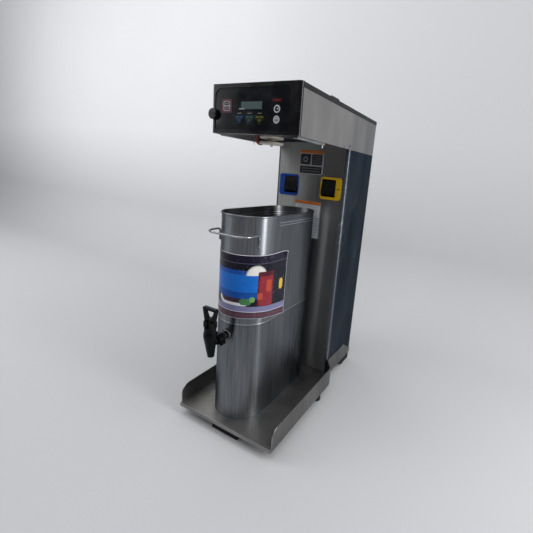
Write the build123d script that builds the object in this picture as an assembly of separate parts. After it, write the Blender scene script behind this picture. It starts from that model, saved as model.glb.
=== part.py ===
from build123d import *
import os
from math import sqrt

# Iced tea maker: a tall brewer on a railed tray, with a narrow oval dispenser standing under its head.
# Millimetres, X to the right, Y to the back, Z up, counter at z = 0.
# While modelling, y = 0 is the front face of the head. When the pieces are written they are moved along Y,
# so that the origin ends up on the counter at the centre of the whole footprint.

# ---------------------------------------------------------------- head and trunk
HEAD_WIDTH = 249.6          # head and trunk share one width
BODY_DEPTH = 504.0          # front of the head to the back of the trunk
BODY_HEIGHT = 880.0         # counter to the top of the head
HEAD_HEIGHT = 110.0         # height of the head's front
TOP_BAND = 12.6             # height of the top cover's edge band
TOP_WALL = 2.0              # wall of the moulded top cover
TOP_EDGE = 1.8              # rounding of the top cover's upper edges
REAR_OVERHANG = 2.0         # top cover past the back of the trunk
VENT_CAP_LENGTH = 43.0      # low cap at the right edge of the top cover
VENT_CAP_WIDTH = 14.0
VENT_CAP_RISE = 4.0
VENT_CAP_START = 150.0      # its front end, behind the head's front
TRUNK_DEPTH = 206.7         # front cover to the back
TRUNK_CORNER = 13.0         # radius of the trunk's front corners
SHEET = 1.2                 # body sheet
SEAM = 0.6                  # open seam between body panels
SEAM_FRONT = 12.2           # the front cover's seam, in from the trunk's side
LAP = 12.0                  # lap behind a panel's edge
LAP_WELD = 1.8              # its joint with the side, past the seam
HEAD_RECESS = 15.0          # underside plate above the head's lower edge
COVER_GAP = 1.5             # front cover above the tray

# ---------------------------------------------------------------- tray and supports
TRAY_HALF_WIDTH = 154.6
TRAY_REACH = 73.3           # tray in front of the head's front
TRAY_FLOOR = 36.1           # top of the tray's floor
TRAY_SHEET = 2.0
LIP_DROP = 10.5             # turned-down lip, floor to its lower edge
RAIL_HEIGHT = 49.2          # rail above the floor
RAIL_SETBACK = 6.0          # rail's front edge behind the tray's front edge
RAIL_CORNER = 25.0          # rounded upper front corner of each rail
RAIL_BEND_START = 262.0     # rails run straight back to here
RAIL_BEND_END = 300.0       # and meet the trunk's sides here
RAIL_SLOPE_START = 433.0    # rails slope down from here
RAIL_REAR_HEIGHT = 5.0      # to this height above the floor at the back
RAIL_CLEARANCE = 0.2        # rail beside the trunk
PAD_WIDTH = 86.0            # front support pad
PAD_DEPTH = 22.0
PAD_INSET = 11.3            # pad behind the tray's front edge
FOOT_RADIUS = 14.0          # middle feet
FOOT_HEIGHT = 20.0
FOOT_STUD = 8.0             # stud radius
FOOT_ROUND = 2.0
FOOT_NECK = 3.0             # height of the stud between foot and tray
FOOT_X = 138.0
FOOT_Y = 205.0
RUNNER_WIDTH = 29.0         # rear runners
RUNNER_LENGTH = 108.0
RUNNER_CHAMFER = 44.0

# ---------------------------------------------------------------- bezel and controls
BEZEL_DEPTH = 8.0
BEZEL_CORNER = 7.6
PANEL_LEFT = -114.0         # recess for the control panel, from the head's centre
PANEL_RIGHT = 97.5
PANEL_MARGIN = 9.0          # recess above the head's lower edge and below its top
PANEL_RADII = [19.0, 13.0, 2.5, 2.5]    # top left, top right, bottom right, bottom left
PANEL_RECESS = 1.5          # panel face behind the bezel's face
PANEL_THICK = 2.0
PANEL_LEDGE = 4.0           # ledge of the bezel behind the panel's edge
PANEL_PLAY = 0.2            # panel in its recess
PANEL_GROOVE_UP = 82.5      # dividing groove, above the head's lower edge
GROOVE = 0.8
DISPLAY_WIDTH = 69.0
DISPLAY_HEIGHT = 19.5
DISPLAY_X = -9.9
DISPLAY_UP = 62.2           # centre heights are above the head's lower edge
DISPLAY_THICK = 1.4
DISPLAY_CORNER = 1.0
INDICATOR_WIDTH = 26.0
INDICATOR_HEIGHT = 7.0
INDICATOR_X = 63.0
INDICATOR_UP = 72.5
INDICATOR_CORNER = 1.5
SQUARE_KEY_SIZE = 30.0
SQUARE_KEY_CORNER = 4.0
SQUARE_KEY_X = -78.5
SQUARE_KEY_UP = 61.5
FUNNEL_KEY_WIDTH = 26.0     # funnel-shaped keys
FUNNEL_KEY_HEIGHT = 20.0
FUNNEL_KEY_NECK = 10.0      # width of the funnel's neck
FUNNEL_KEY_BAND = 6.0       # height of its band
FUNNEL_KEY_STUB = 4.0       # height of its neck
FUNNEL_KEY_X = -11.0        # the middle one
FUNNEL_KEY_PITCH = 29.2
FUNNEL_KEY_UP = 31.0
ROUND_KEY_RADIUS = 8.6
ROUND_KEY_X = 64.3
ROUND_KEY_UP = 32.2         # the lower one
ROUND_KEY_PITCH = 22.2
KEY_PLAY = 0.3              # key in its opening
KEY_PROUD = 0.7             # key in front of the panel
KEY_FLANGE = 1.2            # key's flange around it, behind the panel
KEY_FLANGE_THICK = 1.0
KEY_TRAVEL = 0.8
SWITCH_GAP = 0.3            # switch behind a fully pressed key
SWITCH_SIZE = 6.0
BOARD_THICK = 1.6
BOARD_MARGIN = 6.0          # board's edge inside the bezel's opening
BOARD_BEHIND = 4.4          # board behind the panel
POST_RADIUS = 2.5
POST_INSET = 5.0
FRAME_LAP = 1.0             # board's frame behind the edge of display and indicator
KNOB_RADIUS = 12.4          # round knob at the head's left edge
KNOB_THICK = 7.5
KNOB_SHAFT = 2.0
KNOB_X = -117.2
KNOB_UP = 43.5
KNOB_CHAMFER = 1.2
KNOB_GRIP = 8.7             # half length of the grip across the knob
KNOB_GRIP_THICK = 3.0
KNOB_GRIP_RISE = 2.0
KNOB_TONGUE = 5.0           # latch tongue behind the bezel
KNOB_TONGUE_THICK = 2.0
RUN_FIT = 0.08              # radial clearance of turning and sliding rods
FACE_GAP = 0.3              # clearance between faces that move past each other

# ---------------------------------------------------------------- under the head
RAIL_X = 112.0              # funnel rails
FUNNEL_RAIL_START = 18.0
FUNNEL_RAIL_LENGTH = 137.0
FUNNEL_RAIL_FLANGE = 12.0
FUNNEL_RAIL_SHEET = 1.5
FUNNEL_RAIL_DROP = 4.0      # below the head's lower edge
STOP_PIN_RADIUS = 2.0
STOP_PIN_DROP = 7.0
SPRAY_Y = 80.0
SPRAY_RADIUS = 30.0
SPRAY_DISC = 7.0            # thickness of the spray head
SPRAY_DROP = 15.0           # its lower face below the head's lower edge
SPRAY_EDGE = 2.5
SPRAY_NECK = 10.0
SPRAY_NECK_RISE = 6.0       # neck above the underside plate
SPRAY_RING = 7.0            # thickness of the ring above it
SPRAY_RING_GAP = 6.5
SPRAY_RING_EDGE = 2.8
NOZZLE_RADIUS = 3.0
NOZZLE_DROP = 5.0
HOSE_RADIUS = 6.0
HOSE_BORE = 3.1
HOSE_X = -44.0
HOSE_TURN = 9.0
HOSE_RUN = 40.0             # straight run from the brew valve
HOSE_FIRST_TURN = 18.0
HOSE_STOP = 0.4             # hose's end beside the spray head
BARB_RADIUS = 3.0
BARB_LENGTH = 6.0

# ---------------------------------------------------------------- trunk front
SURROUND_WIDTH = 70.0
SURROUND_HEIGHT = 67.0
SURROUND_THICK = 1.5
SURROUND_CORNER = 9.0
SURROUND_X = 74.7
SURROUND_DROP = 117.0       # its middle below the head
WINDOW_WIDTH = 48.0
WINDOW_HEIGHT = 52.5
WINDOW_CORNER = 2.0
WINDOW_SHIFT = 7.5          # window nearer to the trunk's centre than its surround
WINDOW_RISE = 1.0
PADDLE_PLAY = 0.6
PADDLE_OUT = 5.0            # paddle's lower edge in front of the trunk
PADDLE_FOLD = 1.0           # blade's upper edge behind the trunk's front
PADDLE_LIP = 4.0            # underside of the blade above its play
PADDLE_TIP = 6.0            # and its two front edges
PADDLE_TOE = 10.0
PADDLE_THICK = 3.0
PADDLE_PIN_RADIUS = 2.0
PADDLE_PIN_DROP = 5.0       # pin below the window's upper edge
PADDLE_PIN_DEPTH = 7.0      # pin behind the trunk's front
PADDLE_SHEET = 1.5          # wall of the paddle's box
PADDLE_BOX_DEPTH = 22.0
PLATE_THICK = 0.6
UPPER_PLATE_WIDTH = 84.0
UPPER_PLATE_HEIGHT = 71.0
UPPER_PLATE_DROP = 43.5     # its middle below the head
LOWER_PLATE_WIDTH = 94.0
LOWER_PLATE_HEIGHT = 116.0
LOWER_PLATE_DROP = 221.0
PLATE_CORNER = 1.5

# ---------------------------------------------------------------- inside
TANK_WIDTH = 200.0          # hot water tank
TANK_DEPTH = 155.0
TANK_HEIGHT = 186.0
TANK_CORNER = 20.0
TANK_WALL = 1.5
TANK_LID = 3.0
SHELF_DROP = 213.0          # tank's shelf below the head
ELEMENT_RADIUS = 3.5
ELEMENT_SPREAD = 60.0
ELEMENT_DEPTH = 145.0
ELEMENT_TERMINAL = 12.0     # element's ends above the lid
PROBE_RADIUS = 3.0
PROBE_X = 62.0
PROBE_LENGTH = 100.0
BUSH_RADIUS = 8.0           # bush of the element's ends and of the probe
BUSH_THICK = 4.0
PIPE_RADIUS = 5.0
PIPE_BORE = 3.5
PIPE_BEND = 10.0
OUTLET_BEHIND = 20.0        # tank's outlet behind the tank's front wall
VALVE_WIDTH = 34.0          # brew valve
VALVE_DEPTH = 40.0
VALVE_HEIGHT = 24.0
VALVE_Y = 215.0
COIL_RADIUS = 15.0
COIL_HEIGHT = 32.0
PORT_RADIUS = 6.0
PORT_LENGTH = 8.0
SERVICE_X = 70.0            # inlet on the left, cord gland on the right
SERVICE_Z = 110.0
INLET_RADIUS = 9.0
INLET_OUT = 18.0            # fitting behind the trunk
INLET_IN = 14.0
INLET_HEX = 13.0
INLET_HEX_THICK = 5.0
INLET_VALVE_SIZE = 38.0
GLAND_RADIUS = 8.0
GLAND_BORE = 4.0
GLAND_NUT = 11.0
GLAND_OUT = 12.0
GLAND_COLLAR = 4.0          # round end behind the outer nut
GLAND_IN = 5.0
LOUVRE_WIDTH = 90.0
LOUVRE_HEIGHT = 4.0
LOUVRE_PITCH = 12.0
LOUVRE_COUNT = 8
LOUVRE_DROP = 170.0         # lowest louvre below the head
SCREW_HEAD = 3.6
SCREW_RISE = 1.5
SCREW_SHANK = 1.9
SCREW_HOLE_PLAY = 0.3
SCREW_SEAT = 0.05            # head above its panel
SIDE_SCREW_FRONT = [253.0, 4.5]     # behind the head's front, above its lower edge
SIDE_SCREW_REAR = [292.0, 9.0]
REAR_SCREW_RISE = 23.9       # lowest rear screw above the tray's floor
REAR_SCREW_DROP = 25.0       # highest one below the head

# ---------------------------------------------------------------- dispenser
DISPENSER_X = -17.5
DISPENSER_FOOT_FRONT = -47.0        # front and rear ends and half width, at the foot and at the top
DISPENSER_FOOT_REAR = 293.0
DISPENSER_FOOT_HALF = 73.2
DISPENSER_TOP_FRONT = -37.6
DISPENSER_TOP_REAR = 289.0
DISPENSER_TOP_HALF = 74.7
DISPENSER_HEIGHT = 549.0
DISPENSER_LIFT = 0.3                # foot above the tray
DISPENSER_SHEET = 1.2
SKIRT_HEIGHT = 272.0                # foot to the seam
NEST_GAP = 0.1                      # tank inside the skirt's upper end
VESSEL_FLOOR = 222.0                # tank's floor above the foot
RIM_RADIUS = 2.6
BEAD_RADIUS = 2.0
BEAD_DROPS = [10.5, 29.0]           # embossed beads below the rim
BEAD_STAND = 1.1
BEAD_MARGIN = 6.0                   # beads' ends inside the flat sides
HANDLE_RADIUS = 2.5                 # wire handle
HANDLE_DROP = 45.5                  # its level below the dispenser's top
HANDLE_HALF = 60.0                  # where its ends meet the tank
HANDLE_REACH = 27.0                 # front bar in front of the tank
HANDLE_BEND = 32.0
HANDLE_TURN = 8.0
HANDLE_LEG = 29.0
LABEL_FOOT = 291.5                  # label's lower edge above the foot
LABEL_HEIGHT = 163.0
LABEL_REACH = 99.0                  # how far its ends run back along the flat sides
LABEL_THICK = 0.5
LABEL_GAP = 0.1

# ---------------------------------------------------------------- faucet
FAUCET_UP = 241.5                   # shank above the dispenser's foot
SHANK_RADIUS = 8.5
SHANK_BORE = 4.5
SHANK_INSIDE = 20.0                 # shank inside the tank
COLLAR_RADIUS = 15.0
COLLAR_OUT = 9.0                    # collar in front of the tank
COLLAR_ROUND = 5.0
BACK_NUT_RADIUS = 14.0
BACK_NUT_THICK = 8.0
COUPLING_OUT = 27.0                 # joint of shank and faucet in front of the tank
WING_NUT_RADIUS = 12.5
WING_NUT_FRONT = 12.0               # wing nut in front of the joint
WING_NUT_REAR = 8.0                 # and behind it
WING_WIDTH = 8.0
WING_INSET = 3.0                    # wings shorter than the nut
WING_SPAN = 38.0
WING_TURN = 35.0                    # degrees, one wing up and one down
FAUCET_OUT = 60.0                   # faucet's axis in front of the tank
BODY_DOWN = 35.0                    # spout's end below the shank
BODY_UP = 34.0                      # body's top above the shank
BODY_RADIUS = 16.0
BODY_WIDEST = 22.0                  # level of the widest part above the shank
BODY_BAND = 4.0                     # half height of the straight band at the widest part
SPOUT_RADIUS = 8.2
SPOUT_BACK = 3.5                    # spout's end nearer to the tank than the body
SPOUT_BORE = 5.5
SPOUT_BORE_BACK = 2.5
CHAMBER_RADIUS = 8.8
CHAMBER_DOWN = 6.0                  # seat below the shank
BODY_TOP_RADIUS = 14.5
BONNET_HEIGHT = 9.0
BONNET_SPIGOT = 8.0
BONNET_ROUND = 2.0
STEM_RADIUS = 3.0
SEAT_CUP_RADIUS = 8.3
SEAT_CUP_HEIGHT = 11.0
STEM_TOP = 4.0                      # stem above the lever's pin
LEVER_PIN_RADIUS = 2.0
LEVER_HEEL = 8.0                    # pin above the bonnet
LEVER_HUB = 18.0                    # hub's depth
LEVER_HUB_WIDTH = 27.0
LEVER_HUB_TOP = 7.0                 # hub above the pin
LEVER_THICK = 9.0
LEVER_HEIGHT = 41.0                 # loop's top above the pin
LEVER_TOP_WIDTH = 43.0
LEVER_TOP_ROUND = 3.0
LEVER_WAIST_WIDTH = 31.0
LEVER_WAIST = 12.0                  # waist above the pin
LEVER_BAR = 6.5
LEVER_HOLE_LOW = 4.0                # loop's hole above the waist
LEVER_SIDE_LOW = 9.0                # width of the loop's sides, below and at the top
LEVER_SIDE_TOP = 7.0
SPRING_RADIUS = 6.0
SPRING_WIRE = 0.7
SPRING_TURNS = 4.0

# ---------------------------------------------------------------- levels and planes worked out from these
HALF = HEAD_WIDTH / 2
HEAD_LOW = BODY_HEIGHT - HEAD_HEIGHT
BAND_LOW = BODY_HEIGHT - TOP_BAND
TRUNK_FRONT = BODY_DEPTH - TRUNK_DEPTH
PANEL_BACK_PLANE = BODY_DEPTH - SHEET
UNDERPLATE = HEAD_LOW + HEAD_RECESS
FLOOR_UNDER = TRAY_FLOOR - TRAY_SHEET
LIP_LOW = TRAY_FLOOR - LIP_DROP
RAIL_TOP = TRAY_FLOOR + RAIL_HEIGHT
RAIL_NARROW = HALF + RAIL_CLEARANCE + TRAY_SHEET
PANEL_FACE = PANEL_RECESS
PANEL_BACK = PANEL_FACE + PANEL_THICK
BOARD_FACE = PANEL_BACK + BOARD_BEHIND
FOOT = TRAY_FLOOR + DISPENSER_LIFT
SEAM_LEVEL = FOOT + SKIRT_HEIGHT
DISPENSER_TOP = FOOT + DISPENSER_HEIGHT
FAUCET_Z = FOOT + FAUCET_UP
SURROUND_Z = HEAD_LOW - SURROUND_DROP
UPPER_PLATE_Z = HEAD_LOW - UPPER_PLATE_DROP
LOWER_PLATE_Z = HEAD_LOW - LOWER_PLATE_DROP
SHELF_TOP = HEAD_LOW - SHELF_DROP
LOUVRE_Z = HEAD_LOW - LOUVRE_DROP
LOWEST_SCREW = TRAY_FLOOR + REAR_SCREW_RISE
HIGHEST_SCREW = HEAD_LOW - REAR_SCREW_DROP
REAR_SCREW_LEVELS = [LOWEST_SCREW, (LOWEST_SCREW + HIGHEST_SCREW) / 2, HIGHEST_SCREW]

pieces = {}


# ---------------------------------------------------------------- helpers
def block(x0, x1, y0, y1, z0, z1):
    """Box between two opposite corners."""
    return Pos((x0 + x1) / 2, (y0 + y1) / 2, (z0 + z1) / 2) * Box(x1 - x0, y1 - y0, z1 - z0)


def rod_x(radius, x0, x1, y, z):
    """Round rod along X."""
    return Pos((x0 + x1) / 2, y, z) * Rot(0, 90, 0) * Cylinder(radius, x1 - x0)


def rod_y(radius, x, y0, y1, z):
    """Round rod along Y."""
    return Pos(x, (y0 + y1) / 2, z) * Rot(90, 0, 0) * Cylinder(radius, y1 - y0)


def rod_z(radius, x, y, z0, z1):
    """Round rod along Z."""
    return Pos(x, y, (z0 + z1) / 2) * Cylinder(radius, z1 - z0)


def front_plate(outline, y0, y1):
    """Solid from an outline drawn in X and Z, between two depths."""
    return extrude(Plane.XZ.offset(-y0) * outline, amount=y1 - y0, dir=(0, 1, 0))


def flat_plate(outline, z0, z1):
    """Solid from an outline drawn in X and Y, between two heights."""
    return extrude(Pos(0, 0, z0) * outline, amount=z1 - z0)


def turned(profile, x, y):
    """Solid turned about the vertical through x, y from radius and height points."""
    face = make_face(Polyline(*[(r, 0, z) for r, z in profile], close=True))
    return Pos(x, y, 0) * revolve(face, Axis.Z)


def piped(path, radius, bore=0.0):
    """Round pipe along a path of lines and arcs."""
    section = Circle(radius)
    if bore:
        section -= Circle(bore)
    return sweep(Plane(origin=path @ 0, z_dir=path % 0) * section, path=path)


def both_sides(solid):
    """The solid and its mirror image on the left."""
    return solid, mirror(solid, about=Plane.YZ)


def hexagon_bar(size, x, y0, y1, z):
    """Hexagonal bar along Y, size is its corner radius."""
    return front_plate(Pos(x, z) * RegularPolygon(size, 6), y0, y1)


# ---------------------------------------------------------------- tray and supports
def tray_plan(inset):
    """Tray outline: wide in front, narrowing behind the dispenser to the trunk's sides."""
    wide = TRAY_HALF_WIDTH - inset
    narrow = RAIL_NARROW - inset
    front = -TRAY_REACH + inset
    rear = BODY_DEPTH - inset
    right = [(wide, front), (wide, RAIL_BEND_START), (narrow, RAIL_BEND_END), (narrow, rear)]
    left = [(-x, y) for x, y in reversed(right)]
    return make_face(Polyline(*right, *left, close=True))


def make_tray():
    """Floor with a turned-down lip all round and a rail along each side."""
    body = flat_plate(tray_plan(0), LIP_LOW, RAIL_TOP)
    body -= flat_plate(tray_plan(TRAY_SHEET), TRAY_FLOOR, RAIL_TOP)
    body -= flat_plate(tray_plan(TRAY_SHEET), LIP_LOW, FLOOR_UNDER)
    wide = 2 * TRAY_HALF_WIDTH
    rail_front = -TRAY_REACH + RAIL_SETBACK
    body -= block(-wide, wide, -2 * TRAY_REACH, rail_front, TRAY_FLOOR, 2 * RAIL_TOP)
    body -= block(-RAIL_NARROW + TRAY_SHEET, RAIL_NARROW - TRAY_SHEET,
                  BODY_DEPTH - TRAY_SHEET, 2 * BODY_DEPTH, TRAY_FLOOR, 2 * RAIL_TOP)
    corner = block(-wide, wide, rail_front, rail_front + RAIL_CORNER, RAIL_TOP - RAIL_CORNER, RAIL_TOP)
    corner -= rod_x(RAIL_CORNER, -wide, wide, rail_front + RAIL_CORNER, RAIL_TOP - RAIL_CORNER)
    slope = make_face(Polyline((RAIL_SLOPE_START, RAIL_TOP), (BODY_DEPTH, TRAY_FLOOR + RAIL_REAR_HEIGHT),
                               (2 * BODY_DEPTH, RAIL_TOP), close=True))
    behind = extrude(Plane.YZ.offset(-wide) * slope, amount=2 * wide, dir=(1, 0, 0))
    return body - corner - behind


def make_foot():
    """Rubber foot with its stud."""
    profile = [
        (0, 0),
        (FOOT_RADIUS - FOOT_ROUND, 0),
        (FOOT_RADIUS, FOOT_ROUND),
        (FOOT_RADIUS - FOOT_ROUND / 2, FOOT_HEIGHT),
        (FOOT_STUD, FLOOR_UNDER - FOOT_NECK),
        (FOOT_STUD, FLOOR_UNDER),
        (0, FLOOR_UNDER),
    ]
    return turned(profile, FOOT_X, FOOT_Y)


def make_runner():
    """Rear runner, its front end cut away on a slant."""
    rear = BODY_DEPTH - TRAY_SHEET - RAIL_CLEARANCE
    outer = RAIL_NARROW - TRAY_SHEET - RAIL_CLEARANCE
    front = rear - RUNNER_LENGTH
    outline = Polyline((front, FLOOR_UNDER), (rear, FLOOR_UNDER), (rear, 0), (front + RUNNER_CHAMFER, 0),
                       (front, LIP_LOW), close=True)
    face = Plane.YZ.offset(outer - RUNNER_WIDTH) * make_face(outline)
    return extrude(face, amount=RUNNER_WIDTH, dir=(1, 0, 0))


pieces["base_tray"] = make_tray()
PAD_FRONT = -TRAY_REACH + PAD_INSET
pieces["front_support_pad"] = block(-PAD_WIDTH / 2, PAD_WIDTH / 2, PAD_FRONT, PAD_FRONT + PAD_DEPTH,
                                    0, FLOOR_UNDER)
pieces["middle_feet"] = Compound(both_sides(make_foot()))
pieces["rear_runners"] = Compound(both_sides(make_runner()))


# ---------------------------------------------------------------- trunk and head casing
def ring_plan(x0, x1, y0, y1, corner, wall):
    """Thin closed wall in plan, with rounded front corners."""
    outer = FilletPolyline((x0, y0), (x1, y0), (x1, y1), (x0, y1),
                           radius=[corner, corner, 0.01, 0.01], close=True)
    inner = FilletPolyline((x0 + wall, y0 + wall), (x1 - wall, y0 + wall), (x1 - wall, y1 - wall),
                           (x0 + wall, y1 - wall), radius=[corner - wall, corner - wall, 0.01, 0.01],
                           close=True)
    return make_face(outer) - make_face(inner)


def window_centre(side):
    """X of a paddle's window: side is -1 on the left and 1 on the right."""
    return side * (SURROUND_X - WINDOW_SHIFT)


def window_outline(side, grow):
    """Paddle's window in the trunk's front, grown all round."""
    shape = RectangleRounded(WINDOW_WIDTH + 2 * grow, WINDOW_HEIGHT + 2 * grow, WINDOW_CORNER + max(grow, 0))
    return Pos(window_centre(side), SURROUND_Z + WINDOW_RISE) * shape


def make_trunk_side():
    """Right side of the trunk with its rounded front corner and a lap behind the front cover."""
    seam = HALF - SEAM_FRONT
    plan = ring_plan(-HALF, HALF, TRUNK_FRONT, PANEL_BACK_PLANE, TRUNK_CORNER, SHEET)
    wall = flat_plate(plan, TRAY_FLOOR, HEAD_LOW - SEAM)
    wall &= block(seam, 2 * HALF, 0, 2 * BODY_DEPTH, 0, BODY_HEIGHT)
    lap = block(seam - LAP, seam + LAP_WELD, TRUNK_FRONT + SHEET, TRUNK_FRONT + 2 * SHEET,
                TRAY_FLOOR, HEAD_LOW - SEAM)
    wall += lap
    for level in REAR_SCREW_LEVELS:
        wall -= rod_y(SCREW_SHANK + SCREW_HOLE_PLAY, REAR_SCREW_X, PANEL_BACK_PLANE - LAP, BODY_DEPTH, level)
    return wall


def make_front_cover():
    """Flat removable front cover of the trunk, with a window for each paddle."""
    edge = HALF - SEAM_FRONT - SEAM
    cover = block(-edge, edge, TRUNK_FRONT, TRUNK_FRONT + SHEET, TRAY_FLOOR + COVER_GAP, UNDERPLATE - SEAM)
    for side in (-1, 1):
        cover -= front_plate(window_outline(side, 0), TRUNK_FRONT - SHEET, TRUNK_FRONT + 2 * SHEET)
    return cover


def make_rear_panel():
    """Flat rear panel with louvres, screw holes and holes for the water inlet and the cord gland."""
    panel = block(-HALF, HALF, PANEL_BACK_PLANE, BODY_DEPTH, TRAY_FLOOR + COVER_GAP, HEAD_LOW - SEAM)
    for row in range(LOUVRE_COUNT):
        z = LOUVRE_Z + row * LOUVRE_PITCH
        slot = Pos(0, z) * SlotOverall(LOUVRE_WIDTH, LOUVRE_HEIGHT)
        panel -= front_plate(slot, PANEL_BACK_PLANE - SHEET, BODY_DEPTH + SHEET)
    reach = (PANEL_BACK_PLANE - SHEET, BODY_DEPTH + SHEET)
    panel -= rod_y(INLET_RADIUS + RUN_FIT, -SERVICE_X, *reach, SERVICE_Z)
    panel -= rod_y(GLAND_RADIUS + RUN_FIT, SERVICE_X, *reach, SERVICE_Z)
    for level in REAR_SCREW_LEVELS:
        for side in (-1, 1):
            panel -= rod_y(SCREW_SHANK + SCREW_HOLE_PLAY, side * REAR_SCREW_X, *reach, level)
    return panel


def side_screw_holes(solid):
    """Cuts the holes of the head's side screws through a solid, on both sides."""
    for y, up in (SIDE_SCREW_FRONT, SIDE_SCREW_REAR):
        solid -= rod_x(SCREW_SHANK + SCREW_HOLE_PLAY, -2 * HALF, 2 * HALF, y, HEAD_LOW + up)
    return solid


def make_head_wrap():
    """Sides and back of the head, one bent sheet."""
    outer = block(-HALF, HALF, BEZEL_DEPTH, BODY_DEPTH, HEAD_LOW, BAND_LOW)
    inner = block(-HALF + SHEET, HALF - SHEET, 0, PANEL_BACK_PLANE, HEAD_LOW, BAND_LOW)
    return side_screw_holes(outer - inner)


def make_underplate():
    """Underside plate of the head, with edges turned down along the head's sides, front and back."""
    edge = HALF - SHEET
    front = BEZEL_DEPTH
    rear = PANEL_BACK_PLANE
    plate = block(-edge, edge, front, rear, HEAD_LOW, UNDERPLATE + SHEET)
    plate -= block(-edge + SHEET, edge - SHEET, front + SHEET, rear - SHEET, HEAD_LOW, UNDERPLATE)
    holes = [
        (0, SPRAY_Y, SPRAY_NECK + RUN_FIT),
        (HOSE_X, SPRAY_Y, HOSE_RADIUS + RUN_FIT),
        (0, OUTLET_Y, PIPE_RADIUS + RUN_FIT),
    ]
    for x, y, radius in holes:
        plate -= rod_z(radius, x, y, HEAD_LOW, BODY_HEIGHT)
    return side_screw_holes(plate)


def make_top_cover():
    """Moulded top cover with a low cap near its right edge."""
    low = (-HALF, HALF, BEZEL_DEPTH, BODY_DEPTH + REAR_OVERHANG)
    cover = block(*low, BAND_LOW, BODY_HEIGHT)
    upper = cover.faces().sort_by(Axis.Z)[-1].edges()
    cover = fillet(upper, TOP_EDGE)
    cover -= block(low[0] + TOP_WALL, low[1] - TOP_WALL, low[2] + TOP_WALL, low[3] - TOP_WALL,
                   BAND_LOW, BODY_HEIGHT - TOP_WALL)
    cap_x = HALF - TOP_EDGE
    cap = block(cap_x - VENT_CAP_WIDTH, cap_x, VENT_CAP_START, VENT_CAP_START + VENT_CAP_LENGTH,
                BODY_HEIGHT - TOP_WALL / 2, BODY_HEIGHT + VENT_CAP_RISE)
    cap = fillet(cap.faces().sort_by(Axis.Z)[-1].edges(), VENT_CAP_RISE / 2)
    return cover + cap


REAR_SCREW_X = HALF - LAP / 2
BOX_REAR = TRUNK_FRONT + SHEET + PADDLE_BOX_DEPTH
TANK_REAR_GAP = (PANEL_BACK_PLANE - BOX_REAR - TANK_DEPTH) / 2     # the same as in front of the tank
TANK_REAR = PANEL_BACK_PLANE - TANK_REAR_GAP
TANK_FRONT = TANK_REAR - TANK_DEPTH
OUTLET_Y = TANK_FRONT + OUTLET_BEHIND
pieces["trunk_side_right"], pieces["trunk_side_left"] = both_sides(make_trunk_side())
pieces["trunk_front_cover"] = make_front_cover()
pieces["rear_panel"] = make_rear_panel()
pieces["head_wrap"] = make_head_wrap()
pieces["head_underplate"] = make_underplate()
pieces["top_cover"] = make_top_cover()


# ---------------------------------------------------------------- bezel and control panel
def panel_outline(inset):
    """Control panel's outline with its large upper corners, drawn inwards."""
    left = PANEL_LEFT + inset
    right = PANEL_RIGHT - inset
    low = HEAD_LOW + PANEL_MARGIN + inset
    high = BODY_HEIGHT - PANEL_MARGIN - inset
    radii = [max(radius - inset, 0.5) for radius in PANEL_RADII]
    return make_face(FilletPolyline((left, high), (right, high), (right, low), (left, low),
                                    radius=radii, close=True))


def rectangle_outline(width, height, corner, x, up):
    """Rounded rectangle on the control panel."""
    return Pos(x, HEAD_LOW + up) * RectangleRounded(width, height, corner)


def funnel_outline(x):
    """Funnel shape: a wide band above a slanted cone and a short neck."""
    half = FUNNEL_KEY_WIDTH / 2
    neck = FUNNEL_KEY_NECK / 2
    top = HEAD_LOW + FUNNEL_KEY_UP + FUNNEL_KEY_HEIGHT / 2
    low = top - FUNNEL_KEY_HEIGHT
    band = top - FUNNEL_KEY_BAND
    cone = low + FUNNEL_KEY_STUB
    right = [(half, top), (half, band), (neck, cone), (neck, low)]
    points = [(x + dx, z) for dx, z in right] + [(x - dx, z) for dx, z in reversed(right)]
    return make_face(Polyline(*points, close=True))


KEYS = {
    "power_key": rectangle_outline(SQUARE_KEY_SIZE, SQUARE_KEY_SIZE, SQUARE_KEY_CORNER,
                                   SQUARE_KEY_X, SQUARE_KEY_UP),
    "funnel_key_blue": funnel_outline(FUNNEL_KEY_X - FUNNEL_KEY_PITCH),
    "funnel_key_green": funnel_outline(FUNNEL_KEY_X),
    "funnel_key_yellow": funnel_outline(FUNNEL_KEY_X + FUNNEL_KEY_PITCH),
    "round_key_lower": Pos(ROUND_KEY_X, HEAD_LOW + ROUND_KEY_UP) * Circle(ROUND_KEY_RADIUS),
    "round_key_upper": Pos(ROUND_KEY_X, HEAD_LOW + ROUND_KEY_UP + ROUND_KEY_PITCH) * Circle(ROUND_KEY_RADIUS),
}
DISPLAY = rectangle_outline(DISPLAY_WIDTH, DISPLAY_HEIGHT, DISPLAY_CORNER, DISPLAY_X, DISPLAY_UP)
INDICATOR = rectangle_outline(INDICATOR_WIDTH, INDICATOR_HEIGHT, INDICATOR_CORNER, INDICATOR_X,
                              INDICATOR_UP)


def grown(outline, amount):
    """Outline grown all round, corners kept sharp where they are sharp."""
    return offset(outline, amount, kind=Kind.INTERSECTION)


def make_bezel():
    """Front frame of the head: rounded upright corners, a recess and a ledge for the control panel."""
    frame = block(-HALF, HALF, 0, BEZEL_DEPTH, HEAD_LOW, BODY_HEIGHT)
    uprights = frame.edges().filter_by(Axis.Z).group_by(Axis.Y)[0]
    frame = fillet(uprights, BEZEL_CORNER)
    frame -= front_plate(panel_outline(0), -1, PANEL_BACK)
    frame -= front_plate(panel_outline(PANEL_LEDGE), 0, BEZEL_DEPTH + 1)
    return frame - rod_y(KNOB_SHAFT + RUN_FIT, KNOB_X, -1, BEZEL_DEPTH + 1, HEAD_LOW + KNOB_UP)


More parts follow.
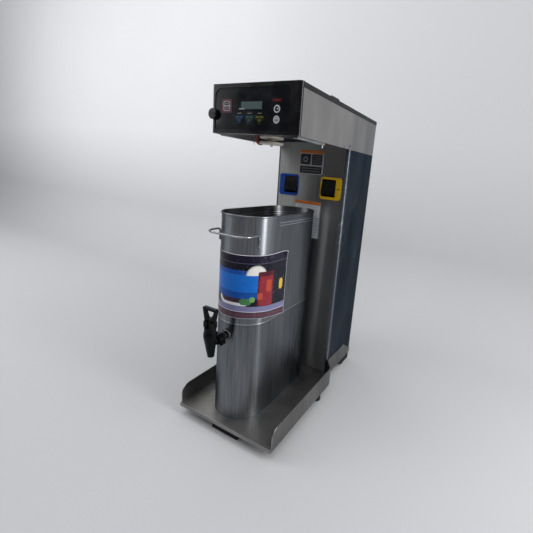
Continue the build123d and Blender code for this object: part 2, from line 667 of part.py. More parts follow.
def make_panel():
    """Control panel with openings for keys, display and indicator, and four posts for the board."""
    panel = front_plate(panel_outline(PANEL_PLAY), PANEL_FACE, PANEL_BACK)
    for outline in KEYS.values():
        panel -= front_plate(grown(outline, KEY_PLAY), 0, BEZEL_DEPTH)
    for outline in (DISPLAY, INDICATOR):
        panel -= front_plate(grown(outline, RUN_FIT), 0, BEZEL_DEPTH)
    groove = HEAD_LOW + PANEL_GROOVE_UP
    panel -= block(PANEL_LEFT, PANEL_RIGHT, PANEL_FACE - 1, PANEL_FACE + GROOVE / 2,
                   groove - GROOVE / 2, groove + GROOVE / 2)
    for x, z in post_places():
        panel += rod_y(POST_RADIUS, x, PANEL_BACK, BOARD_FACE, z)
    return panel


def post_places():
    """Centres of the four posts between panel and board."""
    inset = PANEL_LEDGE + BOARD_MARGIN + POST_INSET
    xs = (PANEL_LEFT + inset, PANEL_RIGHT - inset)
    zs = (HEAD_LOW + PANEL_MARGIN + inset - POST_INSET, BODY_HEIGHT - PANEL_MARGIN - inset)
    return [(x, z) for x in xs for z in zs]


def make_key(outline):
    """Key with a flange behind the panel that keeps it in."""
    face = PANEL_FACE - KEY_PROUD
    flange = PANEL_BACK + FACE_GAP
    key = front_plate(outline, face, flange)
    return key + front_plate(grown(outline, KEY_FLANGE), flange, flange + KEY_FLANGE_THICK)


def make_board():
    """Control board with a switch behind each key and the display's frame."""
    left = PANEL_LEFT + PANEL_LEDGE + BOARD_MARGIN
    right = PANEL_RIGHT - PANEL_LEDGE - BOARD_MARGIN
    low = UNDERPLATE + SHEET + SEAM
    high = BODY_HEIGHT - PANEL_MARGIN - PANEL_LEDGE - BOARD_MARGIN
    board = block(left, right, BOARD_FACE, BOARD_FACE + BOARD_THICK, low, high)
    switch_face = PANEL_BACK + FACE_GAP + KEY_FLANGE_THICK + KEY_TRAVEL + SWITCH_GAP
    for outline in KEYS.values():
        centre = outline.center()
        half = SWITCH_SIZE / 2
        board += block(centre.X - half, centre.X + half, switch_face, BOARD_FACE, centre.Y - half, centre.Y + half)
    board += front_plate(grown(DISPLAY, -FRAME_LAP), PANEL_FACE + DISPLAY_THICK, BOARD_FACE)
    board += front_plate(grown(INDICATOR, -FRAME_LAP), PANEL_FACE + DISPLAY_THICK, BOARD_FACE)
    return board


def make_knob():
    """Round knob with a fluted grip, its shaft and a latch tongue behind the bezel."""
    z = HEAD_LOW + KNOB_UP
    front = -FACE_GAP - KNOB_THICK
    knob = rod_y(KNOB_RADIUS, KNOB_X, front, -FACE_GAP, z)
    knob = chamfer(knob.edges().filter_by(GeomType.CIRCLE).sort_by(Axis.Y)[0], KNOB_CHAMFER)
    half = KNOB_GRIP_THICK / 2
    knob += block(KNOB_X - KNOB_GRIP, KNOB_X + KNOB_GRIP, front - KNOB_GRIP_RISE, front, z - half, z + half)
    back = BEZEL_DEPTH + FACE_GAP
    knob += rod_y(KNOB_SHAFT, KNOB_X, -FACE_GAP, back, z)
    tongue = Pos(KNOB_X, z) * SlotOverall(2 * KNOB_TONGUE, 2 * KNOB_SHAFT, rotation=90)
    return knob + front_plate(tongue, back, back + KNOB_TONGUE_THICK)


pieces["front_bezel"] = make_bezel()
pieces["control_panel"] = make_panel()
pieces["display_window"] = front_plate(DISPLAY, PANEL_FACE, PANEL_FACE + DISPLAY_THICK)
pieces["indicator_lens"] = front_plate(INDICATOR, PANEL_FACE - KEY_PROUD / 2, PANEL_FACE + DISPLAY_THICK)
pieces["control_board"] = make_board()
for key_name, key_outline in KEYS.items():
    pieces[key_name] = make_key(key_outline)
pieces["thumb_knob"] = make_knob()


# ---------------------------------------------------------------- under the head
def make_funnel_rail():
    """Right funnel rail: web, lower flange that carries the funnel, upper flange, and a stop pin."""
    low = HEAD_LOW - FUNNEL_RAIL_DROP
    front = FUNNEL_RAIL_START
    rear = front + FUNNEL_RAIL_LENGTH
    sheet = FUNNEL_RAIL_SHEET
    rail = block(RAIL_X - sheet, RAIL_X, front, rear, low, UNDERPLATE)
    rail += block(RAIL_X - FUNNEL_RAIL_FLANGE, RAIL_X, front, rear, low, low + sheet)
    rail += block(RAIL_X - FUNNEL_RAIL_FLANGE / 2, RAIL_X, front, rear, UNDERPLATE - sheet, UNDERPLATE)
    pin_y = rear - 3 * STOP_PIN_RADIUS
    return rail + rod_z(STOP_PIN_RADIUS, RAIL_X - 2 * STOP_PIN_RADIUS, pin_y, low - STOP_PIN_DROP, low)


def make_spray_head():
    """Spray head: a round disc on a neck through the underplate, with a nozzle and a side barb."""
    low = HEAD_LOW - SPRAY_DROP
    disc = rod_z(SPRAY_RADIUS, 0, SPRAY_Y, low, low + SPRAY_DISC)
    disc = fillet(disc.edges().filter_by(GeomType.CIRCLE), SPRAY_EDGE)
    neck = rod_z(SPRAY_NECK, 0, SPRAY_Y, low + SPRAY_DISC, UNDERPLATE + SHEET + SPRAY_NECK_RISE)
    nozzle = rod_z(NOZZLE_RADIUS, 0, SPRAY_Y, low - NOZZLE_DROP, low)
    barb = rod_x(BARB_RADIUS, -SPRAY_RADIUS - BARB_LENGTH, -SPRAY_RADIUS / 2, SPRAY_Y, HOSE_Z)
    return disc + neck + nozzle + barb


def make_spray_ring():
    """Ring that clamps the spray head, between it and the underplate."""
    low = HEAD_LOW - SPRAY_DROP + SPRAY_DISC + SPRAY_RING_GAP
    ring = rod_z(SPRAY_RADIUS, 0, SPRAY_Y, low, low + SPRAY_RING)
    ring = fillet(ring.edges().filter_by(GeomType.CIRCLE), SPRAY_RING_EDGE)
    return ring - rod_z(SPRAY_NECK + RUN_FIT, 0, SPRAY_Y, low - 1, low + SPRAY_RING + 1)


def make_spray_hose():
    """Soft hose from the brew valve down through the underplate to the spray head's barb."""
    y = VALVE_Y - VALVE_DEPTH / 2 - PORT_LENGTH
    high = UNDERPLATE + SHEET + VALVE_HEIGHT / 2
    path = FilletPolyline((0, y, high), (0, y - HOSE_RUN, high), (HOSE_X, SPRAY_Y, high), (HOSE_X, SPRAY_Y, HOSE_Z),
                          (-SPRAY_RADIUS - HOSE_STOP, SPRAY_Y, HOSE_Z),
                          radius=[HOSE_FIRST_TURN, HOSE_TURN, HOSE_TURN])
    return piped(path, HOSE_RADIUS, HOSE_BORE)


HOSE_Z = HEAD_LOW - SPRAY_DROP + SPRAY_DISC / 2
pieces["funnel_rail_right"], pieces["funnel_rail_left"] = both_sides(make_funnel_rail())
pieces["spray_head"] = make_spray_head()
pieces["spray_ring"] = make_spray_ring()
pieces["spray_hose"] = make_spray_hose()


# ---------------------------------------------------------------- trunk front: surrounds, paddles, plates
def make_surround(side):
    """Coloured surround of a paddle's window, stuck on the front cover."""
    outline = Pos(side * SURROUND_X, SURROUND_Z) * RectangleRounded(SURROUND_WIDTH, SURROUND_HEIGHT,
                                                                     SURROUND_CORNER)
    outline -= window_outline(side, 0)
    return front_plate(outline, TRUNK_FRONT - SURROUND_THICK, TRUNK_FRONT)


def make_paddle_box(side):
    """Box behind a window, open to the front, that carries the paddle's pin."""
    front = TRUNK_FRONT + SHEET
    rear = front + PADDLE_BOX_DEPTH
    box = front_plate(window_outline(side, PADDLE_SHEET), front, rear)
    box -= front_plate(window_outline(side, 0), front - 1, rear - PADDLE_SHEET)
    reach = WINDOW_WIDTH / 2 + 2 * PADDLE_SHEET
    x = window_centre(side)
    return box - rod_x(PADDLE_PIN_RADIUS, x - reach, x + reach, PADDLE_PIN_Y, PADDLE_PIN_Z)


def make_paddle(side):
    """Paddle: a slanted blade that stands out at its lower edge, with a side wall at each edge and a boss."""
    half = WINDOW_WIDTH / 2 - PADDLE_PLAY
    top = PADDLE_PIN_Z + PADDLE_PIN_RADIUS + PADDLE_THICK / 2
    low = SURROUND_Z + WINDOW_RISE - WINDOW_HEIGHT / 2 + PADDLE_PLAY
    tip = TRUNK_FRONT - PADDLE_OUT
    inner = PADDLE_PIN_Y - PADDLE_PIN_RADIUS
    profile = [
        (PADDLE_PIN_Y + PADDLE_PIN_RADIUS + PADDLE_THICK / 2, top),
        (TRUNK_FRONT + PADDLE_FOLD, top),
        (tip, low + PADDLE_TOE),
        (tip, low + PADDLE_TIP),
        (tip + PADDLE_THICK, low + PADDLE_LIP),
        (inner, low + PADDLE_TOE),
        (inner, PADDLE_PIN_Z - PADDLE_PIN_RADIUS - PADDLE_THICK),
        (PADDLE_PIN_Y + PADDLE_PIN_RADIUS + PADDLE_THICK / 2, PADDLE_PIN_Z - PADDLE_PIN_RADIUS - PADDLE_THICK),
    ]
    x = window_centre(side)
    face = Plane.YZ.offset(x - half) * make_face(Polyline(*profile, close=True))
    paddle = extrude(face, amount=2 * half, dir=(1, 0, 0))
    return paddle - rod_x(PADDLE_PIN_RADIUS + RUN_FIT, x - half - 1, x + half + 1, PADDLE_PIN_Y, PADDLE_PIN_Z)


def make_paddle_pins():
    """The pins of both paddles."""
    reach = WINDOW_WIDTH / 2 + PADDLE_SHEET
    pins = [rod_x(PADDLE_PIN_RADIUS, window_centre(side) - reach, window_centre(side) + reach,
                  PADDLE_PIN_Y, PADDLE_PIN_Z) for side in (-1, 1)]
    return Compound(pins)


def make_plate(width, height, z):
    """Thin plate riveted flat on the front cover."""
    outline = Pos(0, z) * RectangleRounded(width, height, PLATE_CORNER)
    return front_plate(outline, TRUNK_FRONT - PLATE_THICK, TRUNK_FRONT)


PADDLE_PIN_Y = TRUNK_FRONT + PADDLE_PIN_DEPTH
PADDLE_PIN_Z = SURROUND_Z + WINDOW_RISE + WINDOW_HEIGHT / 2 - PADDLE_PIN_DROP
for colour, side_sign in (("blue", -1), ("yellow", 1)):
    pieces["surround_" + colour] = make_surround(side_sign)
    pieces["paddle_box_" + colour] = make_paddle_box(side_sign)
    pieces["paddle_" + colour] = make_paddle(side_sign)
pieces["paddle_pins"] = make_paddle_pins()
pieces["upper_plate"] = make_plate(UPPER_PLATE_WIDTH, UPPER_PLATE_HEIGHT, UPPER_PLATE_Z)
pieces["lower_plate"] = make_plate(LOWER_PLATE_WIDTH, LOWER_PLATE_HEIGHT, LOWER_PLATE_Z)


# ---------------------------------------------------------------- inside: tank, valves, pipes
def make_shelf():
    """Shelf across the trunk that carries the tank, its edges turned down along the trunk's sides."""
    edge = HALF - SHEET
    front = TRUNK_FRONT + TRUNK_CORNER
    rear = PANEL_BACK_PLANE - SHEET - SEAM
    shelf = block(-edge, edge, front, rear, SHELF_TOP - LAP, SHELF_TOP)
    shelf -= block(-edge + SHEET, edge - SHEET, front - 1, rear + 1, SHELF_TOP - LAP, SHELF_TOP - SHEET)
    return shelf - rod_z(PIPE_RADIUS + RUN_FIT, -SERVICE_X, FILL_Y, 0, BODY_HEIGHT)


def tank_plan(inset):
    """Tank's outline in plan, drawn inwards."""
    shape = RectangleRounded(TANK_WIDTH - 2 * inset, TANK_DEPTH - 2 * inset, TANK_CORNER - inset)
    return Pos(0, (TANK_FRONT + TANK_REAR) / 2) * shape


def make_tank():
    """Hot water tank, open at the top, with a fill hole in its floor."""
    tank = flat_plate(tank_plan(0), SHELF_TOP, TANK_TOP)
    tank -= flat_plate(tank_plan(TANK_WALL), SHELF_TOP + TANK_WALL, TANK_TOP)
    return tank - rod_z(PIPE_BORE, -SERVICE_X, FILL_Y, SHELF_TOP - 1, SHELF_TOP + 2 * TANK_WALL)


def make_tank_lid():
    """Lid of the tank, with holes for the element, the probe and the outlet."""
    lid = flat_plate(tank_plan(0), TANK_TOP, TANK_TOP + TANK_LID)
    holes = [(x, ELEMENT_Y, ELEMENT_RADIUS + RUN_FIT) for x in ELEMENT_LEGS]
    holes += [(PROBE_X, ELEMENT_Y, PROBE_RADIUS + RUN_FIT), (0, OUTLET_Y, PIPE_BORE)]
    for x, y, radius in holes:
        lid -= rod_z(radius, x, y, TANK_TOP - 1, TANK_TOP + TANK_LID + 1)
    return lid


def make_element():
    """U-shaped heating element with a bush on each leg."""
    high = TANK_TOP + TANK_LID + ELEMENT_TERMINAL
    low = TANK_TOP - ELEMENT_DEPTH
    left, right = ELEMENT_LEGS
    path = FilletPolyline((left, ELEMENT_Y, high), (left, ELEMENT_Y, low), (right, ELEMENT_Y, low),
                          (right, ELEMENT_Y, high), radius=ELEMENT_SPREAD / 2 - 1)
    element = piped(path, ELEMENT_RADIUS)
    for x in ELEMENT_LEGS:
        element += rod_z(BUSH_RADIUS, x, ELEMENT_Y, TANK_TOP + TANK_LID, TANK_TOP + TANK_LID + BUSH_THICK)
    return element


def make_probe():
    """Temperature probe hanging from the lid."""
    top = TANK_TOP + TANK_LID
    probe = rod_z(PROBE_RADIUS, PROBE_X, ELEMENT_Y, top - PROBE_LENGTH, top)
    return probe + rod_z(BUSH_RADIUS, PROBE_X, ELEMENT_Y, top, top + BUSH_THICK)


def make_brew_pipe():
    """Pipe from the tank's lid up through the underplate and forward to the brew valve."""
    high = UNDERPLATE + SHEET + VALVE_HEIGHT / 2
    rear_port = VALVE_Y + VALVE_DEPTH / 2 + PORT_LENGTH
    path = FilletPolyline((0, OUTLET_Y, TANK_TOP + TANK_LID), (0, OUTLET_Y, high), (0, rear_port, high),
                          radius=PIPE_BEND)
    return piped(path, PIPE_RADIUS, PIPE_BORE)


def make_brew_valve():
    """Brew valve standing on the underplate: body, coil and a port to each side."""
    low = UNDERPLATE + SHEET
    half_x = VALVE_WIDTH / 2
    half_y = VALVE_DEPTH / 2
    valve = block(-half_x, half_x, VALVE_Y - half_y, VALVE_Y + half_y, low, low + VALVE_HEIGHT)
    valve += rod_z(COIL_RADIUS, 0, VALVE_Y, low + VALVE_HEIGHT, low + VALVE_HEIGHT + COIL_HEIGHT)
    reach = half_y + PORT_LENGTH
    return valve + rod_y(PORT_RADIUS, 0, VALVE_Y - reach, VALVE_Y + reach, low + VALVE_HEIGHT / 2)


def make_inlet_valve():
    """Inlet valve behind the rear panel, with its threaded water inlet through the panel."""
    inner = PANEL_BACK_PLANE - INLET_IN
    outer = BODY_DEPTH + INLET_OUT
    half = INLET_VALVE_SIZE / 2
    valve = block(-SERVICE_X - half, -SERVICE_X + half, inner - INLET_VALVE_SIZE, inner,
                  SERVICE_Z - half, SERVICE_Z + half)
    valve += rod_y(INLET_RADIUS, -SERVICE_X, inner, outer, SERVICE_Z)
    valve += hexagon_bar(INLET_HEX, -SERVICE_X, BODY_DEPTH, BODY_DEPTH + INLET_HEX_THICK, SERVICE_Z)
    return valve - rod_y(PIPE_BORE, -SERVICE_X, inner - half, outer + 1, SERVICE_Z)


def make_fill_pipe():
    """Straight pipe from the inlet valve up to the tank's floor."""
    low = SERVICE_Z + INLET_VALVE_SIZE / 2
    pipe = rod_z(PIPE_RADIUS, -SERVICE_X, FILL_Y, low, SHELF_TOP)
    return pipe - rod_z(PIPE_BORE, -SERVICE_X, FILL_Y, low - 1, SHELF_TOP + 1)


def make_gland():
    """Cord gland in the rear panel, without a cord."""
    inner = PANEL_BACK_PLANE - GLAND_IN
    outer = BODY_DEPTH + GLAND_OUT
    gland = rod_y(GLAND_RADIUS, SERVICE_X, inner, outer, SERVICE_Z)
    gland += hexagon_bar(GLAND_NUT, SERVICE_X, inner, PANEL_BACK_PLANE, SERVICE_Z)
    gland += hexagon_bar(GLAND_NUT, SERVICE_X, BODY_DEPTH, outer - GLAND_COLLAR, SERVICE_Z)
    return gland - rod_y(GLAND_BORE, SERVICE_X, inner - 1, outer + 1, SERVICE_Z)


def make_side_screws():
    """Small screws low on both sides of the head."""
    screws = []
    seat = HALF + SCREW_SEAT
    for side in (-1, 1):
        for y, up in (SIDE_SCREW_FRONT, SIDE_SCREW_REAR):
            z = HEAD_LOW + up
            ends = sorted((side * seat, side * (seat + SCREW_RISE)))
            shank = sorted((side * seat, side * (HALF - 3 * SHEET)))
            screws.append(rod_x(SCREW_HEAD, *ends, y, z) + rod_x(SCREW_SHANK, *shank, y, z))
    return Compound(screws)


def make_rear_screws():
    """Screws along both edges of the rear panel."""
    screws = []
    seat = BODY_DEPTH + SCREW_SEAT
    for side in (-1, 1):
        for level in REAR_SCREW_LEVELS:
            x = side * REAR_SCREW_X
            head = rod_y(SCREW_HEAD, x, seat, seat + SCREW_RISE, level)
            screws.append(head + rod_y(SCREW_SHANK, x, BODY_DEPTH - 3 * SHEET, seat, level))
    return Compound(screws)


TANK_TOP = SHELF_TOP + TANK_HEIGHT
ELEMENT_Y = (TANK_FRONT + TANK_REAR) / 2
ELEMENT_LEGS = (-ELEMENT_SPREAD / 2, ELEMENT_SPREAD / 2)
FILL_Y = PANEL_BACK_PLANE - INLET_IN - INLET_VALVE_SIZE / 2
pieces["tank_shelf"] = make_shelf()
pieces["hot_water_tank"] = make_tank()
pieces["tank_lid"] = make_tank_lid()
pieces["heating_element"] = make_element()
pieces["temperature_probe"] = make_probe()
pieces["brew_valve"] = make_brew_valve()
pieces["inlet_valve"] = make_inlet_valve()
pieces["water_pipes"] = Compound([make_brew_pipe(), make_fill_pipe()])
pieces["cord_gland"] = make_gland()
pieces["side_screws"] = make_side_screws()
pieces["rear_screws"] = make_rear_screws()


# ---------------------------------------------------------------- dispenser
def oval_sizes(z, inset=0.0):
    """Front end, rear end and half width of the dispenser at a height, drawn inwards."""
    share = (z - FOOT) / DISPENSER_HEIGHT
    front = DISPENSER_FOOT_FRONT + share * (DISPENSER_TOP_FRONT - DISPENSER_FOOT_FRONT) + inset
    rear = DISPENSER_FOOT_REAR + share * (DISPENSER_TOP_REAR - DISPENSER_FOOT_REAR) - inset
    half = DISPENSER_FOOT_HALF + share * (DISPENSER_TOP_HALF - DISPENSER_FOOT_HALF) - inset
    return front, rear, half


def oval(z, inset=0.0):
    """Plan of the dispenser at a height: two half circles joined by straight sides."""
    front, rear, half = oval_sizes(z, inset)
    shape = SlotCenterToCenter(rear - front - 2 * half, 2 * half, rotation=90)
    return Pos(DISPENSER_X, (front + rear) / 2, z) * shape


def oval_solid(z0, z1, inset=0.0):
    """Slightly tapered oval solid between two heights."""
    return loft([oval(z0, inset), oval(z1, inset)], ruled=True)


def make_vessel():
    """Tank of the dispenser: a shoulder rests on the skirt, a rolled rim tops it, beads stiffen its sides."""
    nest = DISPENSER_SHEET + NEST_GAP
    floor = FOOT + VESSEL_FLOOR
    wall = DISPENSER_SHEET
    vessel = oval_solid(SEAM_LEVEL, DISPENSER_TOP - RIM_RADIUS) + oval_solid(floor, SEAM_LEVEL, nest)
    vessel += piped(oval(DISPENSER_TOP - RIM_RADIUS).face().outer_wire(), RIM_RADIUS)
    for drop in BEAD_DROPS:
        z = DISPENSER_TOP - drop
        front, rear, half = oval_sizes(z)
        start = front + half + BEAD_MARGIN
        end = rear - half - BEAD_MARGIN
        for side in (-1, 1):
            x = DISPENSER_X + side * (half + BEAD_STAND - BEAD_RADIUS)
            vessel += rod_y(BEAD_RADIUS, x, start, end, z)
    vessel -= oval_solid(SEAM_LEVEL + wall, DISPENSER_TOP + 1, wall)
    vessel -= oval_solid(floor + wall, SEAM_LEVEL + 2 * wall, nest + wall)
    return vessel - rod_y(SHANK_RADIUS + RUN_FIT, DISPENSER_X, FAUCET_AXIS, 0, FAUCET_Z)


def make_skirt():
    """Skirt that the tank stands in, open below."""
    skirt = oval_solid(FOOT, SEAM_LEVEL) - oval_solid(FOOT - 1, SEAM_LEVEL + 1, DISPENSER_SHEET)
    return skirt - rod_y(SHANK_RADIUS + RUN_FIT, DISPENSER_X, FAUCET_AXIS, 0, FAUCET_Z)


def make_handle():
    """Wire handle: a level loop round the front, its ends turned down against the tank."""
    z = DISPENSER_TOP - HANDLE_DROP
    low = z - HANDLE_LEG
    front, _, half = oval_sizes(low)
    centre = front + half
    stand = (half + HANDLE_RADIUS + NEST_GAP) / half
    end_x = HANDLE_HALF * stand
    end_y = centre - sqrt(half ** 2 - HANDLE_HALF ** 2) * stand
    bar = front - HANDLE_REACH
    right = [(DISPENSER_X + end_x, end_y, low), (DISPENSER_X + end_x, end_y, z), (DISPENSER_X + end_x, bar, z)]
    left = [(2 * DISPENSER_X - x, y, height) for x, y, height in reversed(right)]
    path = FilletPolyline(*right, *left, radius=[HANDLE_TURN, HANDLE_BEND, HANDLE_BEND, HANDLE_TURN])
    return piped(path, HANDLE_RADIUS)


def make_label():
    """Printed wrap round the tank's front."""
    low = FOOT + LABEL_FOOT
    high = low + LABEL_HEIGHT
    wrap = oval_solid(low, high, -LABEL_GAP - LABEL_THICK) - oval_solid(low - 1, high + 1, -LABEL_GAP)
    return wrap & block(-HALF, HALF, -HALF, LABEL_REACH, low, high)


TANK_FACE = oval_sizes(FAUCET_Z)[0]
FAUCET_AXIS = TANK_FACE - FAUCET_OUT
pieces["dispenser_tank"] = make_vessel()
pieces["dispenser_skirt"] = make_skirt()
pieces["dispenser_handle"] = make_handle()
pieces["label_wrap"] = make_label()


# ---------------------------------------------------------------- faucet
def make_shank():
    """Threaded shank through both walls, with the collar that bears on the dispenser's front."""
    end = TANK_FACE - COUPLING_OUT
    collar = rod_y(COLLAR_RADIUS, DISPENSER_X, TANK_FACE - COLLAR_OUT, TANK_FACE + COLLAR_OUT, FAUCET_Z)
    collar = fillet(collar.edges().filter_by(GeomType.CIRCLE).sort_by(Axis.Y)[0], COLLAR_ROUND)
    collar -= oval_solid(FAUCET_Z - 2 * COLLAR_RADIUS, FAUCET_Z + 1.5 * COLLAR_RADIUS, -NEST_GAP / 2)
    shank = collar + rod_y(SHANK_RADIUS, DISPENSER_X, end, TANK_FACE + SHANK_INSIDE, FAUCET_Z)
    return shank - rod_y(SHANK_BORE, DISPENSER_X, end - 1, TANK_FACE + SHANK_INSIDE + 1, FAUCET_Z)


def make_back_nut():
    """Nut and gasket inside the tank, shaped to its wall."""
    walls = 2 * DISPENSER_SHEET + 2 * NEST_GAP
    nut = rod_y(BACK_NUT_RADIUS, DISPENSER_X, TANK_FACE, TANK_FACE + walls + BACK_NUT_THICK, FAUCET_Z)
    nut &= oval_solid(FAUCET_Z - 2 * COLLAR_RADIUS, FAUCET_Z + 2 * COLLAR_RADIUS, walls)
    return nut - rod_y(SHANK_RADIUS + RUN_FIT, DISPENSER_X, FAUCET_AXIS, 0, FAUCET_Z)


def make_wing_nut():
    """Coupling nut with two wings that joins the faucet to its shank."""
    joint = TANK_FACE - COUPLING_OUT
    front = joint - WING_NUT_FRONT
    rear = joint + WING_NUT_REAR
    nut = rod_y(WING_NUT_RADIUS, DISPENSER_X, front, rear, FAUCET_Z)
    wings = Pos(DISPENSER_X, FAUCET_Z) * SlotOverall(WING_SPAN, WING_WIDTH, rotation=-WING_TURN)
    nut += front_plate(wings, front + WING_INSET, rear - WING_INSET)
    return nut - rod_y(SHANK_RADIUS + RUN_FIT, DISPENSER_X, front - 1, rear + 1, FAUCET_Z)


def make_faucet_body():
    """Faucet body: round body, a tapered spout that leans to the tank, a chamber and a level inlet."""
    top = FAUCET_Z + BODY_UP
    low = FAUCET_Z - BODY_DOWN
    wide = FAUCET_Z + BODY_WIDEST
    profile = [(0, wide - BODY_BAND), (BODY_RADIUS, wide - BODY_BAND), (BODY_RADIUS, wide + BODY_BAND),
               (BODY_TOP_RADIUS, top), (0, top)]
    body = turned(profile, DISPENSER_X, FAUCET_AXIS)
    ends = [Pos(DISPENSER_X, FAUCET_AXIS + SPOUT_BACK, low) * Circle(SPOUT_RADIUS),
            Pos(DISPENSER_X, FAUCET_AXIS, wide - BODY_BAND) * Circle(BODY_RADIUS)]
    body += loft(ends, ruled=True)
    joint = TANK_FACE - COUPLING_OUT
    body += rod_y(SHANK_RADIUS, DISPENSER_X, FAUCET_AXIS, joint, FAUCET_Z)
    body -= rod_y(SHANK_BORE, DISPENSER_X, FAUCET_AXIS, joint + 1, FAUCET_Z)
    body -= rod_z(CHAMBER_RADIUS, DISPENSER_X, FAUCET_AXIS, FAUCET_Z - CHAMBER_DOWN, top + 1)
    return body - rod_z(SPOUT_BORE, DISPENSER_X, FAUCET_AXIS + SPOUT_BORE_BACK, low - 1, FAUCET_Z)


def make_bonnet():
    """Bonnet on the body, with a spigot in the chamber and a bore for the stem."""
    top = FAUCET_Z + BODY_UP
    bonnet = rod_z(BODY_TOP_RADIUS, DISPENSER_X, FAUCET_AXIS, top, top + BONNET_HEIGHT)
    bonnet = fillet(bonnet.edges().filter_by(GeomType.CIRCLE).sort_by(Axis.Z)[-1], BONNET_ROUND)
    bonnet += rod_z(CHAMBER_RADIUS - RUN_FIT, DISPENSER_X, FAUCET_AXIS, top - BONNET_SPIGOT, top)
    return bonnet - rod_z(STEM_RADIUS + RUN_FIT, DISPENSER_X, FAUCET_AXIS, FAUCET_Z, top + 2 * BONNET_HEIGHT)


def make_stem():
    """Stem with its soft seat cup below and the lever's cross pin above."""
    seat = FAUCET_Z - CHAMBER_DOWN + FACE_GAP
    stem = rod_z(STEM_RADIUS, DISPENSER_X, FAUCET_AXIS, seat, LEVER_PIN_Z + STEM_TOP)
    stem += rod_z(SEAT_CUP_RADIUS, DISPENSER_X, FAUCET_AXIS, seat, seat + SEAT_CUP_HEIGHT)
    reach = LEVER_HUB / 2
    return stem + rod_x(LEVER_PIN_RADIUS, DISPENSER_X - reach, DISPENSER_X + reach, FAUCET_AXIS, LEVER_PIN_Z)


def make_spring():
    """Return spring between the seat cup and the bonnet."""
    low = FAUCET_Z - CHAMBER_DOWN + FACE_GAP + SEAT_CUP_HEIGHT + SPRING_WIRE + NEST_GAP
    high = FAUCET_Z + BODY_UP - BONNET_SPIGOT - SPRING_WIRE - NEST_GAP
    path = Pos(DISPENSER_X, FAUCET_AXIS, low) * Helix((high - low) / SPRING_TURNS, high - low, SPRING_RADIUS)
    return piped(path, SPRING_WIRE)


def make_lever():
    """Fan-shaped loop lever on a hub that straddles the stem."""
    x = DISPENSER_X
    pin = LEVER_PIN_Z
    hub_half = LEVER_HUB_WIDTH / 2
    hub_deep = LEVER_HUB / 2
    waist_half = LEVER_WAIST_WIDTH / 2
    top_half = LEVER_TOP_WIDTH / 2
    right = [(hub_half, pin), (waist_half, pin + LEVER_WAIST), (top_half, pin + LEVER_HEIGHT)]
    outline = make_face(Polyline(*[(x + dx, z) for dx, z in right], *[(x - dx, z) for dx, z in reversed(right)],
                                 close=True))
    outline = fillet(outline.vertices().group_by(Axis.Y)[-1], LEVER_TOP_ROUND)
    hole_right = [(waist_half - LEVER_SIDE_LOW, pin + LEVER_WAIST + LEVER_HOLE_LOW),
                  (top_half - LEVER_SIDE_TOP, pin + LEVER_HEIGHT - LEVER_BAR)]
    hole = make_face(Polyline(*[(x + dx, z) for dx, z in hole_right],
                              *[(x - dx, z) for dx, z in reversed(hole_right)], close=True))
    lever = front_plate(outline - hole, FAUCET_AXIS - LEVER_THICK / 2, FAUCET_AXIS + LEVER_THICK / 2)
    lever += block(x - hub_half, x + hub_half, FAUCET_AXIS - hub_deep, FAUCET_AXIS + hub_deep,
                   BONNET_TOP + FACE_GAP, pin + LEVER_HUB_TOP)
    slot = STEM_RADIUS + FACE_GAP
    lever -= block(x - slot, x + slot, FAUCET_AXIS - LEVER_HUB, FAUCET_AXIS + LEVER_HUB,
                   BONNET_TOP, pin + LEVER_HUB_TOP)
    return lever - rod_x(LEVER_PIN_RADIUS + RUN_FIT, x - LEVER_HUB_WIDTH, x + LEVER_HUB_WIDTH, FAUCET_AXIS, pin)


BONNET_TOP = FAUCET_Z + BODY_UP + BONNET_HEIGHT
LEVER_PIN_Z = BONNET_TOP + LEVER_HEEL
pieces["faucet_shank"] = make_shank()
pieces["faucet_back_nut"] = make_back_nut()
pieces["faucet_wing_nut"] = make_wing_nut()
pieces["faucet_body"] = make_faucet_body()
pieces["faucet_bonnet"] = make_bonnet()
pieces["faucet_stem"] = make_stem()
pieces["faucet_spring"] = make_spring()
pieces["faucet_lever"] = make_lever()


# ---------------------------------------------------------------- writing
front_end = FAUCET_AXIS - BODY_RADIUS
rear_end = BODY_DEPTH + INLET_OUT
centre_y = (front_end + rear_end) / 2
os.makedirs("parts", exist_ok=True)
for name, piece in pieces.items():
    export_step(Pos(0, -centre_y, 0) * piece, "parts/" + name + ".step")
print(len(pieces), "pieces, moved along Y by", round(-centre_y, 3))
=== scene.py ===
import bpy
import numpy as np
from mathutils import Matrix, Vector


